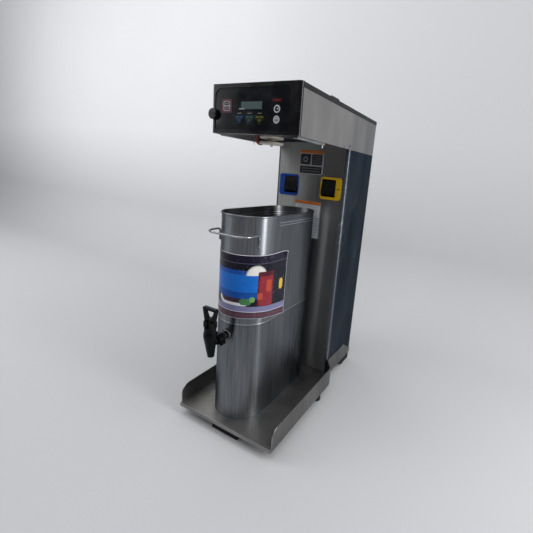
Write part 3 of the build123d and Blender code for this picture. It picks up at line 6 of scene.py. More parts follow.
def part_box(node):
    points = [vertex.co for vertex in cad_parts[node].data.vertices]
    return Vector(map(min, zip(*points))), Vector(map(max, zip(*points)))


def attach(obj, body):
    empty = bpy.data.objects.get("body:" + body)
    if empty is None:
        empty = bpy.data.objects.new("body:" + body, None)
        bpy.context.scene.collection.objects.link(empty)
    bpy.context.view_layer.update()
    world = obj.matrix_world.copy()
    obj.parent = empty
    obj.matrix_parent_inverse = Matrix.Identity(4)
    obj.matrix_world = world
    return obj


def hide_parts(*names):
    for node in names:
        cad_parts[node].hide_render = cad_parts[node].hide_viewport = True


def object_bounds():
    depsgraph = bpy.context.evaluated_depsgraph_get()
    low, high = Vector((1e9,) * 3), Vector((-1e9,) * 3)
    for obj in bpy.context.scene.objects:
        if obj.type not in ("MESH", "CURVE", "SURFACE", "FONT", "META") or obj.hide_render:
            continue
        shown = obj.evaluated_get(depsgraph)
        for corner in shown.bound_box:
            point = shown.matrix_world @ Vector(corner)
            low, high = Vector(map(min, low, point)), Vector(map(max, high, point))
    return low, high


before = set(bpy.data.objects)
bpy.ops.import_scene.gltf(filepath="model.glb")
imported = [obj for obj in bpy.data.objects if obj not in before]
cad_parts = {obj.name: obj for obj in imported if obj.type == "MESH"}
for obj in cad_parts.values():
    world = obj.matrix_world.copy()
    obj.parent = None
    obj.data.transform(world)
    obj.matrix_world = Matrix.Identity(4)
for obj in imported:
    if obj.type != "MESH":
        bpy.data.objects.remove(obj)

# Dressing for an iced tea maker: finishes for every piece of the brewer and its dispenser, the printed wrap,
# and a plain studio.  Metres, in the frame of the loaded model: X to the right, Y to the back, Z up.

bl_info = {
    "name": "Iced Tea Maker Dressing",
    "version": (1, 0, 0),
    "blender": (4, 5, 0),
    "location": "View3D > Sidebar > Tea Maker",
    "description": "Finishes, printed wrap and studio for an iced tea maker",
    "category": "Object",
}

CAD_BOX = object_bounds()
MM = 0.001

# Camera, in metres and millimetres of lens.
CAMERA_PLACE = (0.5107, -0.85017, 0.6970)
CAMERA_TURN = ((0.8774, -0.1849, 0.4427), (0.4719, 0.1657, -0.8660), (0.0867, 0.9687, 0.2326))
CAMERA_LENS = 22.635
CAMERA_SHIFT = (-0.0834, -0.0260)

# How far the pale edges, wear and painted highlight, reach in from an edge, and how far the two ground lines lie
# under the tank's rim.
EDGE_REACH = 1.2 * MM
GROUND_LINES = (19 * MM, 26 * MM)

# The dispenser's plan, as its solids have it: a tapered oval.
SKIRT_LOW, SKIRT_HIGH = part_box("dispenser_skirt")
TANK_LOW, TANK_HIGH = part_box("dispenser_tank")
WRAP_LOW, WRAP_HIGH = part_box("label_wrap")
OVAL_X = (SKIRT_LOW.x + SKIRT_HIGH.x) / 2
OVAL_LEAN = (TANK_LOW.y - SKIRT_LOW.y) / (SKIRT_HIGH.z - SKIRT_LOW.z)
OVAL_FLARE = 1.5 / 549.0    # the half width grows by 1.5 mm over the dispenser's 549 mm
OVAL_HALF = (SKIRT_HIGH.x - SKIRT_LOW.x) / 2


# ---------------------------------------------------------------- colours and shader helpers
def linear(code):
    """Linear red, green, blue and alpha from an sRGB hex code."""
    parts = np.array([int(code[i:i + 2], 16) for i in (1, 3, 5)]) / 255
    low = parts / 12.92
    high = ((parts + 0.055) / 1.055) ** 2.4
    return (*np.where(parts <= 0.04045, low, high), 1.0)


def add(tree, kind, inputs=None, **settings):
    """Adds one node, sets its settings, and links or fills its inputs by name or number."""
    made = tree.nodes.new(kind)
    for key, value in settings.items():
        setattr(made, key, value)
    for key, value in (inputs or {}).items():
        if isinstance(value, bpy.types.NodeSocket):
            tree.links.new(value, made.inputs[key])
        else:
            made.inputs[key].default_value = value
    return made


def blank(name, **values):
    """New material with a Principled surface; values are its plain sockets."""
    material = bpy.data.materials.new(name)
    material.use_nodes = True
    tree = material.node_tree
    shader = tree.nodes["Principled BSDF"]
    for key, value in values.items():
        shader.inputs[key.replace("_", " ")].default_value = value
    return material, tree, shader


def stretched_noise(tree, place, size, detail=2.0, shift=0.0):
    """Noise from 0 to 1 whose blotches measure size (x, y, z in metres)."""
    scale = tuple(1 / s for s in size)
    mapped = add(tree, "ShaderNodeMapping", {"Vector": place, "Location": (shift,) * 3, "Scale": scale})
    noise = {"Vector": mapped.outputs[0], "Scale": 1.0, "Detail": detail}
    return add(tree, "ShaderNodeTexNoise", noise).outputs[0]


def ramp(tree, value, low, high, start, end):
    """Value between low and high, mapped to start and end and clamped."""
    return add(tree, "ShaderNodeMapRange", {0: value, 1: low, 2: high, 3: start, 4: end}).outputs[0]


def combine(tree, operation, first, second=0.0):
    """One step of arithmetic on one or two values."""
    return add(tree, "ShaderNodeMath", {0: first, 1: second}, operation=operation).outputs[0]


def blend_colour(tree, share, first, second):
    """Mix of two colours."""
    return add(tree, "ShaderNodeMix", {0: share, 6: first, 7: second}, data_type="RGBA").outputs[2]


def edge_glint(tree, radius):
    """1 on edges and 0 on flats, from how far a rounded normal leans from the true one."""
    rounded = add(tree, "ShaderNodeBevel", {"Radius": radius}, samples=6)
    true = add(tree, "ShaderNodeNewGeometry")
    lean = add(tree, "ShaderNodeVectorMath", {0: rounded.outputs[0], 1: true.outputs["Normal"]},
               operation="DOT_PRODUCT").outputs["Value"]
    return ramp(tree, lean, 0.98, 0.80, 0.0, 1.0)


def patch(tree, plane, centre, half, corner, soft=0.3 * MM):
    """1 inside a rounded rectangle of the X-Z plane (or of a UV map), 0 outside, with a soft edge.

    Distance to the shape: length of what |point - centre| leaves past (half - corner), less corner."""
    away = add(tree, "ShaderNodeVectorMath", {0: plane, 1: (centre[0], 0, centre[1])}, operation="SUBTRACT")
    size = add(tree, "ShaderNodeVectorMath", {0: away.outputs[0]}, operation="ABSOLUTE")
    inner = (half[0] - corner, 10.0, half[1] - corner)
    past = add(tree, "ShaderNodeVectorMath", {0: size.outputs[0], 1: inner}, operation="SUBTRACT")
    past = add(tree, "ShaderNodeVectorMath", {0: past.outputs[0], 1: (0, 0, 0)}, operation="MAXIMUM")
    reach = add(tree, "ShaderNodeVectorMath", {0: past.outputs[0]}, operation="LENGTH").outputs["Value"]
    return ramp(tree, reach, corner + soft, corner - soft, 0.0, 1.0)


def painted(tree, plane, ground, marks):
    """Marks laid over a ground colour; each is (hex, centre, half, corner), in metres."""
    colour = ground
    for code, centre, half, corner in marks:
        colour = blend_colour(tree, patch(tree, plane, centre, half, corner), colour, linear(code))
    return colour


def laid_strips(tree, place, colour, bands):
    """Colour with soft strips laid over it, each (axis, middle, reach, hex, strength) in metres.

    A strip fades smoothly from its middle to its reach; one that stops also has another axis,
    its low and high ends and how softly it stops."""
    split = add(tree, "ShaderNodeSeparateXYZ", {0: place})
    for axis, middle, reach, code, strength, *stops in bands:
        away = combine(tree, "ABSOLUTE", combine(tree, "SUBTRACT", split.outputs[axis], middle))
        share = add(tree, "ShaderNodeMapRange", {0: away, 1: reach, 2: 0.0, 3: 0.0, 4: strength},
                    interpolation_type="SMOOTHSTEP").outputs[0]
        if stops:
            along = split.outputs[stops[0]]
            for end, soft in ((stops[1], stops[3]), (stops[2], -stops[3])):
                share = combine(tree, "MULTIPLY", share, ramp(tree, along, end - soft, end + soft, 0.0, 1.0))
        colour = blend_colour(tree, share, colour, linear(code))
    return colour


def face(name):
    """Middle of a node's box seen from the front, as x and z, and its half width."""
    low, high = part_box(name)
    return (low.x + high.x) / 2, (low.z + high.z) / 2, (high.x - low.x) / 2


def dress(material, *names):
    """Gives a CAD node's slots a material."""
    for name in names:
        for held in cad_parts[name].material_slots:
            held.material = material


# ---------------------------------------------------------------- finishes
def brushed_steel(name, light, dark, roughness=0.42, grain=(30.0, 30.0, 1.4), contrast=0.3, scratches=0.0,
                  painted_edge_glint=0.0, stretch=0.9, tint="#b4b8be", bands=(), scratched_from=-1.0):
    """Stainless steel sheet, brushed level: fine lines along the brush, broad smudges, a few scratches.

    The brush draws every reflection out into a tall band.  grain is the size of one brush line in
    millimetres.  bands are strips of colour: ground lines, and a painted highlight and painted shade at seams.
    The glint value paints a pale highlight on edges.
    Scratches start at scratched_from along Y, so that they stay on flat flanks."""
    material, tree, shader = blank(name, Metallic=1.0, Anisotropic=stretch, Anisotropic_Rotation=0.25,
                                   Specular_Tint=linear(tint))
    place = add(tree, "ShaderNodeTexCoord").outputs["Object"]
    lines = stretched_noise(tree, place, [g * MM for g in grain], 3.0)
    clouds = stretched_noise(tree, place, (0.07, 0.07, 0.26), 2.0, 3.1)
    tone = combine(tree, "ADD", combine(tree, "MULTIPLY", lines, contrast),
                   combine(tree, "MULTIPLY", clouds, 1 - contrast))
    colour = blend_colour(tree, ramp(tree, tone, 0.30, 0.70, 0.0, 1.0), linear(dark), linear(light))
    rough = ramp(tree, combine(tree, "ADD", lines, clouds), 0.6, 1.4, roughness - 0.03, roughness + 0.05)
    colour = laid_strips(tree, place, colour, bands)
    if scratches:
        turned = add(tree, "ShaderNodeMapping", {"Vector": place, "Rotation": (0.62, 0.0, 0.0)}).outputs[0]
        thin = stretched_noise(tree, turned, (0.5, 0.0026, 0.10), 1.0, 1.3)
        crossed = add(tree, "ShaderNodeMapping", {"Vector": place, "Rotation": (0.95, 0.0, 0.0)}).outputs[0]
        thin_too = stretched_noise(tree, crossed, (0.5, 0.0034, 0.06), 1.0, 5.9)
        where = ramp(tree, stretched_noise(tree, place, (0.2, 0.10, 0.14), 1.0, 9.4), 0.50, 0.64, 0.0, 1.0)
        mark = combine(tree, "MAXIMUM", ramp(tree, thin, 0.62, 0.72, 0.0, 1.0),
                       ramp(tree, thin_too, 0.64, 0.74, 0.0, 1.0))
        along = add(tree, "ShaderNodeSeparateXYZ", {0: place}).outputs["Y"]
        flank = ramp(tree, along, scratched_from, scratched_from + 0.03, 0.0, scratches)
        mark = combine(tree, "MULTIPLY", combine(tree, "MULTIPLY", mark, where), flank)
        colour = blend_colour(tree, mark, colour, linear("#c4cad2"))
        rough = combine(tree, "ADD", rough, combine(tree, "MULTIPLY", mark, 0.25))
    # Edges painted pale: a painted highlight where light would catch them.
    if painted_edge_glint:
        edge = edge_glint(tree, EDGE_REACH)
        colour = blend_colour(tree, combine(tree, "MULTIPLY", edge, painted_edge_glint), colour, linear("#e4e2de"))
    tree.links.new(colour, shader.inputs["Base Color"])
    tree.links.new(rough, shader.inputs["Roughness"])
    relief = add(tree, "ShaderNodeBump", {"Height": lines, "Strength": 0.04, "Distance": 0.2 * MM})
    tree.links.new(relief.outputs[0], shader.inputs["Normal"])
    flow = add(tree, "ShaderNodeTangent", direction_type="RADIAL", axis="Z")
    tree.links.new(flow.outputs[0], shader.inputs["Tangent"])
    return material


def moulded(name, code, roughness, edge_wear_and_glint=0.0, grit=1.2, shine=0.3):
    """Injection-moulded plastic or rubber: a fine grain, a little dust and paler edges, partly wear and partly a
    painted highlight.
    """
    material, tree, shader = blank(name, Specular_IOR_Level=shine)
    place = add(tree, "ShaderNodeTexCoord").outputs["Object"]
    dust = stretched_noise(tree, place, (0.03, 0.03, 0.03), 4.0)
    grain = stretched_noise(tree, place, (grit * MM,) * 3, 2.0)
    base = linear(code)
    dusty = tuple(min(1.0, c * 1.4 + 0.002) for c in base[:3]) + (1.0,)
    colour = blend_colour(tree, ramp(tree, dust, 0.45, 0.75, 0.0, 1.0), base, dusty)
    # Paler edges: partly wear, partly a painted highlight.
    if edge_wear_and_glint:
        pale = tuple(min(1.0, c * 2.0 + 0.05) for c in base[:3]) + (1.0,)
        colour = blend_colour(tree, combine(tree, "MULTIPLY", edge_glint(tree, EDGE_REACH), edge_wear_and_glint), colour, pale)
    tree.links.new(colour, shader.inputs["Base Color"])
    rough = ramp(tree, combine(tree, "ADD", dust, combine(tree, "MULTIPLY", grain, 0.3)), 0.4, 0.9,
                 roughness - 0.05, roughness + 0.12)
    tree.links.new(rough, shader.inputs["Roughness"])
    relief = add(tree, "ShaderNodeBump", {"Height": grain, "Strength": 0.08, "Distance": 0.2 * MM})
    tree.links.new(relief.outputs[0], shader.inputs["Normal"])
    return material


def printed_film(name, ground, marks, roughness=0.22, coat=0.15, fade=0.25):
    """Printed film behind a clear gloss layer; marks are rounded rectangles of the X-Z plane."""
    material, tree, shader = blank(name, Coat_Weight=coat, Coat_Roughness=0.06, Specular_IOR_Level=0.3)
    place = add(tree, "ShaderNodeTexCoord").outputs["Object"]
    clouds = stretched_noise(tree, place, (0.03, 0.03, 0.03), 3.0)
    colour = painted(tree, place, linear(ground), marks)
    worn = blend_colour(tree, ramp(tree, clouds, 0.4, 0.8, 0.0, fade), colour, linear("#34353a"))
    tree.links.new(worn, shader.inputs["Base Color"])
    rough = ramp(tree, clouds, 0.3, 0.7, roughness - 0.06, roughness + 0.10)
    tree.links.new(rough, shader.inputs["Roughness"])
    return material


# ---------------------------------------------------------------- settings
class TeaMakerSteel(bpy.types.PropertyGroup):
    """How worn the steel is."""
    scratches: bpy.props.FloatProperty(name="Scratches", description="Strength of the scratches on the sides",
                                       default=0.35, min=0.0, max=1.0, subtype="FACTOR")
    roughness: bpy.props.FloatProperty(name="Roughness", description="Roughness of the brushed sheet",
                                       default=0.42, min=0.05, max=0.8, subtype="FACTOR")


class TeaMakerWrap(bpy.types.PropertyGroup):
    """Size of the printed wrap and of its curled corners."""
    curl: bpy.props.FloatProperty(name="Curl", description="How far the loose corners stand off the tank",
                                  default=7 * MM, min=0.0, max=0.02, unit="LENGTH")
    dip: bpy.props.FloatProperty(name="Dip", description="How much lower the wrap's right end hangs",
                                 default=15 * MM, min=0.0, max=0.04, unit="LENGTH")
    thickness: bpy.props.FloatProperty(name="Thickness", description="Thickness of the film",
                                       default=0.35 * MM, min=0.0001, max=0.002, unit="LENGTH")


class TeaMakerStage(bpy.types.PropertyGroup):
    """Studio."""
    floor: bpy.props.FloatVectorProperty(name="Floor", description="Colour of floor and backdrop", size=3,
                                         subtype="COLOR", default=linear("#bcbdbf")[:3], min=0.0, max=1.0)
    # The wall colour is the floor's paper painted paler: painted light.
    wall: bpy.props.FloatVectorProperty(name="Wall colour", description="Colour of the backdrop's upper part",
                                        size=3, subtype="COLOR", default=linear("#f0f1f4")[:3],
                                        min=0.0, max=1.0)
    wall_distance: bpy.props.FloatProperty(name="Wall", description="Backdrop behind the brewer",
                                           default=0.55, min=0.1, max=5.0, unit="LENGTH")


# ---------------------------------------------------------------- surfaces
def grid_mesh(name, points, uv=None):
    """Mesh object from a grid of points, rows by columns by three; uv has two values for each point."""
    rows, columns = points.shape[:2]
    first = np.arange(rows * columns).reshape(rows, columns)
    quads = np.stack([first[:-1, :-1], first[:-1, 1:], first[1:, 1:], first[1:, :-1]], axis=-1).reshape(-1, 4)
    mesh = bpy.data.meshes.new(name)
    mesh.from_pydata(points.reshape(-1, 3).tolist(), [], quads.tolist())
    mesh.polygons.foreach_set("use_smooth", np.ones(len(quads), bool))
    if uv is not None:
        layer = mesh.uv_layers.new(name="UVMap")
        layer.data.foreach_set("uv", uv.reshape(-1, 2)[quads.ravel()].ravel())
    mesh.update()
    made = bpy.data.objects.new(name, mesh)
    bpy.context.scene.collection.objects.link(made)
    return made


def oval_point(s, z, out):
    """Point on the dispenser's wall: s runs round from the front's middle, positive to the right.

    Within a quarter turn it is on a circle of the oval's half width; past that it runs straight back."""
    half = OVAL_HALF + (z - SKIRT_HIGH.z) * OVAL_FLARE + out
    front = SKIRT_LOW.y + (z - SKIRT_LOW.z) * OVAL_LEAN
    centre = front + half - out
    quarter = (half - out) * np.pi / 2
    turn = np.clip(s, -quarter, quarter) / (half - out)
    past = np.maximum(np.abs(s) - quarter, 0.0)
    return np.stack([OVAL_X + half * np.sin(turn), centre - half * np.cos(turn) + past, z], axis=-1)


def smooth(value):
    """Rises smoothly from 0 to 1 as value does."""
    value = np.clip(value, 0.0, 1.0)
    return value * value * (3 - 2 * value)


# ---------------------------------------------------------------- operators
class TEAMAKER_OT_stage(bpy.types.Operator):
    """Camera, floor with a curved backdrop, soft lamps and the world"""
    bl_idname = "teamaker.stage"
    bl_label = "Studio"

    def execute(self, context):
        settings = context.scene.tea_stage
        lens = bpy.data.cameras.new("view")
        lens.sensor_width = 36.0
        lens.lens = CAMERA_LENS
        lens.shift_x, lens.shift_y = CAMERA_SHIFT
        lens.clip_start = 0.01
        camera = bpy.data.objects.new("view", lens)
        camera.matrix_world = Matrix.Translation(CAMERA_PLACE) @ Matrix(CAMERA_TURN).to_4x4()
        context.scene.collection.objects.link(camera)
        context.scene.camera = camera
        context.scene.view_settings.view_transform = "Standard"
        self.backdrop(settings)
        self.lamps(context)
        return {"FINISHED"}

    def backdrop(self, settings):
        """Floor that turns up into a wall along a quarter circle."""
        radius = 0.35
        wall = CAD_BOX[1].y + settings.wall_distance
        turn = np.linspace(0, np.pi / 2, 24)
        y = np.concatenate([[-6.0, -2.0], wall - radius + radius * np.sin(turn), [wall]])
        z = np.concatenate([[0.0, 0.0], radius - radius * np.cos(turn), [5.0]])
        x = np.linspace(-6, 6, 9)
        points = np.stack(np.broadcast_arrays(x[None, :], y[:, None], z[:, None]), axis=-1)
        sweep = grid_mesh("backdrop", points)
        material, tree, shader = blank("matte_studio_paper", Roughness=0.9)
        place = add(tree, "ShaderNodeTexCoord").outputs["Object"]
        mottle = ramp(tree, stretched_noise(tree, place, (0.8, 0.8, 0.8), 2.0), 0.3, 0.7, 0.0, 0.06)
        split = add(tree, "ShaderNodeSeparateXYZ", {0: place})
        # The paper is painted paler upward and towards the left: painted light on the wall over the darker floor
        # colour.
        painted_light_share = combine(tree, "MULTIPLY", ramp(tree, split.outputs["Z"], 0.0, 0.9, 0.0, 1.0),
                         ramp(tree, split.outputs["X"], 0.9, -0.9, 0.0, 1.0))
        paper = blend_colour(tree, painted_light_share, (*settings.floor, 1.0), (*settings.wall, 1.0))
        colour = blend_colour(tree, mottle, paper, linear("#b9bbc0"))
        tree.links.new(colour, shader.inputs["Base Color"])
        sweep.data.materials.append(material)

    def lamps(self, context):
        """Soft boxes: position, size, power, aim."""
        boxes = [
            # Tall window to the right, which gives the steel its upright streaks.
            ("window", (1.60, -0.15, 1.15), (0.36, 2.0), 21.0, (0.0, -0.15, 0.50)),
            # Dimmer opening to the right and behind it.
            ("door", (1.55, 0.45, 1.15), (0.50, 1.7), 3.0, (0.0, -0.3, 0.60)),
            # Broad soft light overhead.
            ("top", (-0.3, -0.5, 2.6), (2.6, 2.6), 26.0, (-0.1, 0.0, 0.0)),
            # Soft light on the backdrop's left.
            ("wash", (-2.4, -1.1, 1.7), (2.0, 1.6), 29.0, (-2.0, 0.9, 0.5)),
        ]
        for name, place, size, power, aim in boxes:
            light = bpy.data.lights.new(name, "AREA")
            light.shape = "RECTANGLE"
            light.size, light.size_y = size
            light.energy = power
            lamp = bpy.data.objects.new(name, light)
            lamp.location = place
            lamp.rotation_euler = (Vector(aim) - Vector(place)).to_track_quat("-Z", "Y").to_euler()
            context.scene.collection.objects.link(lamp)
        world = bpy.data.worlds.new("studio")
        world.use_nodes = True
        tree = world.node_tree
        room = tree.nodes["Background"]
        room.inputs["Color"].default_value = linear("#cfd0d2")
        # Dim near the horizon, as a room is, and bright towards the ceiling.
        sky = add(tree, "ShaderNodeSeparateXYZ", {0: add(tree, "ShaderNodeTexCoord").outputs["Generated"]})
        level = ramp(tree, sky.outputs["Z"], 0.15, 0.85, 0.12, 0.95)
        tree.links.new(level, room.inputs["Strength"])
        context.scene.world = world


class TEAMAKER_OT_body(bpy.types.Operator):
    """Finishes of the tray, the trunk and the head"""
    bl_idname = "teamaker.body"
    bl_label = "Tray, trunk and head"

    def execute(self, context):
        steel = context.scene.tea_steel
        rough = steel.roughness
        # The glint value of each sheet paints a pale highlight on its edges.
        # Stainless sheet, brushed upright.
        cover = brushed_steel("stainless_upright_brushed", "#a9a9a8", "#868684", rough, grain=(2.2, 2.2, 300.0),
                              contrast=0.5, painted_edge_glint=0.5)
        # The trunk's sides: the same sheet given a darker blue-grey colour as painted shade, crossed by scratches.
        side = brushed_steel("stainless_side_painted_shade", "#5f646b", "#42484f", rough - 0.06, scratches=steel.scratches,
                             painted_edge_glint=0.5, tint="#a0a4a8")
        # The head's wrapper.
        head = brushed_steel("stainless_head_brushed", "#c6c4c0", "#9e9c99", rough, (3.0, 3.0, 200.0), 0.25,
                             scratches=steel.scratches * 0.6, painted_edge_glint=0.5)
        # Tray sheet dulled by wiping, with its edges painted pale: a painted highlight.
        tray = brushed_steel("stainless_tray_wiped", "#9f9d9a", "#7d7b78", rough - 0.04, (60.0, 60.0, 60.0),
                             painted_edge_glint=0.9, stretch=0.0)
        back = brushed_steel("stainless_rear_brushed", "#a1a1a0", "#868684", rough, (2.2, 2.2, 300.0), 0.4)
        dress(cover, "trunk_front_cover")
        dress(back, "rear_panel")
        dress(side, "trunk_side_left", "trunk_side_right")
        under = brushed_steel("stainless_underplate_shaded", "#5e5d60", "#454443", rough)
        dress(head, "head_wrap")
        dress(under, "head_underplate")
        dress(tray, "base_tray")
        dress(moulded("abs_cover_satin", "#0e0f11", 0.45, edge_wear_and_glint=0.3), "top_cover")
        dress(moulded("rubber_feet", "#0a0a0b", 0.65), "front_support_pad", "middle_feet", "rear_runners")
        dress(moulded("nylon_gland", "#151517", 0.5), "cord_gland")
        return {"FINISHED"}


class TEAMAKER_OT_controls(bpy.types.Operator):
    """Finishes of the bezel, the control panel, its keys, display and knob"""
    bl_idname = "teamaker.controls"
    bl_label = "Controls"

    def execute(self, context):
        # The paler edges of the bezel and knob are a painted highlight along their corners.
        bezel = moulded("abs_bezel_gloss", "#08090c", 0.24, edge_wear_and_glint=0.15, shine=0.4)
        dress(bezel, "front_bezel", "thumb_knob")
        marks = []
        for key in ("funnel_key_blue", "funnel_key_green", "funnel_key_yellow"):
            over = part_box(key)[1].z + 3.2 * MM
            marks.append(("#8d9094", (face(key)[0], over), (6 * MM, 0.7 * MM), 0.6 * MM))
        # Film printed deep navy behind a glossy coat.
        dress(printed_film("panel_film_navy", "#070b12", marks, 0.18, 0.2, 0.06), "control_panel")
        self.display()
        self.keys()
        middle = face("indicator_lens")[:2]
        red = printed_film("acrylic_lens_red", "#3c0f18", [("#6e1a26", middle, (9 * MM, 1.6 * MM), 1.5 * MM)])
        dress(red, "indicator_lens")
        dress(moulded("fibreglass_board", "#14472f", 0.5), "control_board")
        return {"FINISHED"}

    def display(self):
        """Grey-green display with a paler strip at its lower left."""
        x, z, _ = face("display_window")
        marks = [
            ("#4c5a5b", (x + 3.6 * MM, z + 0.2 * MM), (30 * MM, 8.3 * MM), 1 * MM),
            ("#566566", (x + 3.6 * MM, z + 0.2 * MM), (28.5 * MM, 7 * MM), 1 * MM),
            ("#a9aeb0", (x - 24 * MM, z - 7.2 * MM), (8 * MM, 1.3 * MM), 0.8 * MM),
        ]
        dress(printed_film("display_glass_grey_green", "#15191c", marks, 0.14, 0.2, 0.1), "display_window")

    def keys(self):
        """Keys: printed caps, each drawn from its own place."""
        x, z, _ = face("power_key")
        marks = [
            ("#2a2529", (x, z), (12.2 * MM, 12.2 * MM), 2.5 * MM),
            ("#a9a3a7", (x, z), (10.4 * MM, 11.0 * MM), 4.0 * MM),
        ]
        for up in (5.4 * MM, -5.4 * MM):
            marks.append(("#2a2529", (x, z + up), (8.2 * MM, 4.0 * MM), 3.8 * MM))
            marks.append(("#8d8187", (x, z + up), (5.4 * MM, 1.1 * MM), 1.0 * MM))
        dress(printed_film("key_film_silver", "#6f2f3d", marks), "power_key")
        for name, ground, bright in (("blue", "#0d2038", "#23486f"), ("green", "#0e2a28", "#255249"),
                                     ("yellow", "#24260f", "#66642b")):
            x, top = face("funnel_key_" + name)[0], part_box("funnel_key_" + name)[1].z
            marks = [
                (bright, (x, top - 5.0 * MM), (9.5 * MM, 2.0 * MM), 1.0 * MM),
                (ground, (x, top - 5.0 * MM), (4.0 * MM, 0.8 * MM), 0.6 * MM),
                (bright, (x, top - 12.0 * MM), (3.0 * MM, 2.5 * MM), 1.4 * MM),
            ]
            dress(printed_film("key_film_" + name, ground, marks), "funnel_key_" + name)
        for name in ("upper", "lower"):
            x, z, _ = face("round_key_" + name)
            marks = [("#c9cbcc", (x, z), (8.2 * MM, 8.2 * MM), 8.2 * MM),
                     ("#1a2230", (x, z), (5.6 * MM, 5.6 * MM), 5.6 * MM)]
            if name == "upper":
                marks.append(("#c9cbcc", (x + 1.6 * MM, z + 0.6 * MM), (2.2 * MM, 1.6 * MM), 1.5 * MM))
            else:
                marks.append(("#c9cbcc", (x, z), (4.4 * MM, 4.4 * MM), 4.4 * MM))
                marks.append(("#1a2230", (x, z - 1.0 * MM), (3.4 * MM, 1.4 * MM), 1.3 * MM))
            dress(printed_film("key_film_round_" + name, "#10151f", marks, fade=0.1), "round_key_" + name)


class TEAMAKER_OT_underside(bpy.types.Operator):
    """Finishes of the rails, the spray head and its hose"""
    bl_idname = "teamaker.underside"
    bl_label = "Under the head"

    def execute(self, context):
        # The funnel rails: steel coloured white, a painted highlight for the bright line along them, with a painted
        # highlight on their edges too.
        bright = brushed_steel("stainless_rail_painted_highlight", "#ffffff", "#d8d8d6", 0.3, (1.5, 120.0, 1.5), painted_edge_glint=0.6)
        dress(bright, "funnel_rail_left", "funnel_rail_right")
        dress(moulded("polysulfone_spray_beige", "#b9b2a6", 0.35, edge_wear_and_glint=0.3), "spray_head", "spray_ring")
        dress(moulded("silicone_hose_rust", "#8a5a50", 0.55), "spray_hose")
        return {"FINISHED"}


class TEAMAKER_OT_trunk_front(bpy.types.Operator):
    """Finishes of the surrounds, the paddles, their boxes and the two plates"""
    bl_idname = "teamaker.trunk_front"
    bl_label = "Trunk front"

    def execute(self, context):
        dress(printed_film("surround_film_blue", "#073f96", [], 0.3, 0.1, 0.1), "surround_blue")
        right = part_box("surround_yellow")[1].x
        dash = ("#3a3208", (right - 9 * MM, face("surround_yellow")[1]), (5.5 * MM, 1.3 * MM), 0.8 * MM)
        dress(printed_film("surround_film_yellow", "#c9a312", [dash], 0.3, 0.1, 0.1), "surround_yellow")
        # The paddles' pale edges are a painted highlight.
        dress(moulded("abs_paddle_gloss", "#040506", 0.14, edge_wear_and_glint=0.5, shine=0.35), "paddle_blue", "paddle_yellow")
        dress(moulded("abs_box_black", "#060607", 0.5), "paddle_box_blue", "paddle_box_yellow")
        self.plates()
        return {"FINISHED"}

    def plates(self):
        """Plates with an amber band over dark and pale fields, all plain."""
        x, _, wide = face("upper_plate")
        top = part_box("upper_plate")[1].z
        marks = [
            ("#c2681a", (x, top - 4.5 * MM), (wide - 1 * MM, 4.2 * MM), 0.8 * MM),
            ("#1b1c1f", (x - 20 * MM, top - 27 * MM), (18 * MM, 16 * MM), 2 * MM),
            ("#1b1c1f", (x + 20 * MM, top - 27 * MM), (18 * MM, 16 * MM), 2 * MM),
            ("#1b1c1f", (x, top - 58 * MM), (38.5 * MM, 11 * MM), 2 * MM),
            ("#85888c", (x - 20 * MM, top - 27 * MM), (8 * MM, 8 * MM), 8 * MM),
            ("#1b1c1f", (x - 20 * MM, top - 27 * MM), (5 * MM, 5 * MM), 5 * MM),
        ]
        for row in range(4):
            marks.append(("#6d7074", (x + 20 * MM, top - (17 + row * 6.5) * MM), (14 * MM, 0.8 * MM), 0.5 * MM))
        for row in range(2):
            marks.append(("#6d7074", (x, top - (54 + row * 8) * MM), (32 * MM, 0.8 * MM), 0.5 * MM))
        dress(printed_film("plate_film_upper", "#9a9da1", marks, 0.35, 0.3, 0.3), "upper_plate")
        x, _, wide = face("lower_plate")
        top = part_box("lower_plate")[1].z
        marks = [
            ("#c2681a", (x, top - 4.5 * MM), (wide - 1 * MM, 4.2 * MM), 0.8 * MM),
            ("#c8cacd", (x, top - 30 * MM), (wide - 2 * MM, 19 * MM), 1.5 * MM),
            ("#b4b7bb", (x, top - 83 * MM), (wide - 2 * MM, 31 * MM), 1.5 * MM),
        ]
        for row in range(5):
            marks.append(("#75787d", (x, top - (16 + row * 7) * MM), (wide - 9 * MM, 0.8 * MM), 0.5 * MM))
        for row in range(6):
            marks.append(("#75787d", (x, top - (60 + row * 9) * MM), (wide - 9 * MM, 0.8 * MM), 0.5 * MM))
        dress(printed_film("plate_film_lower", "#8f9296", marks, 0.35, 0.3, 0.3), "lower_plate")


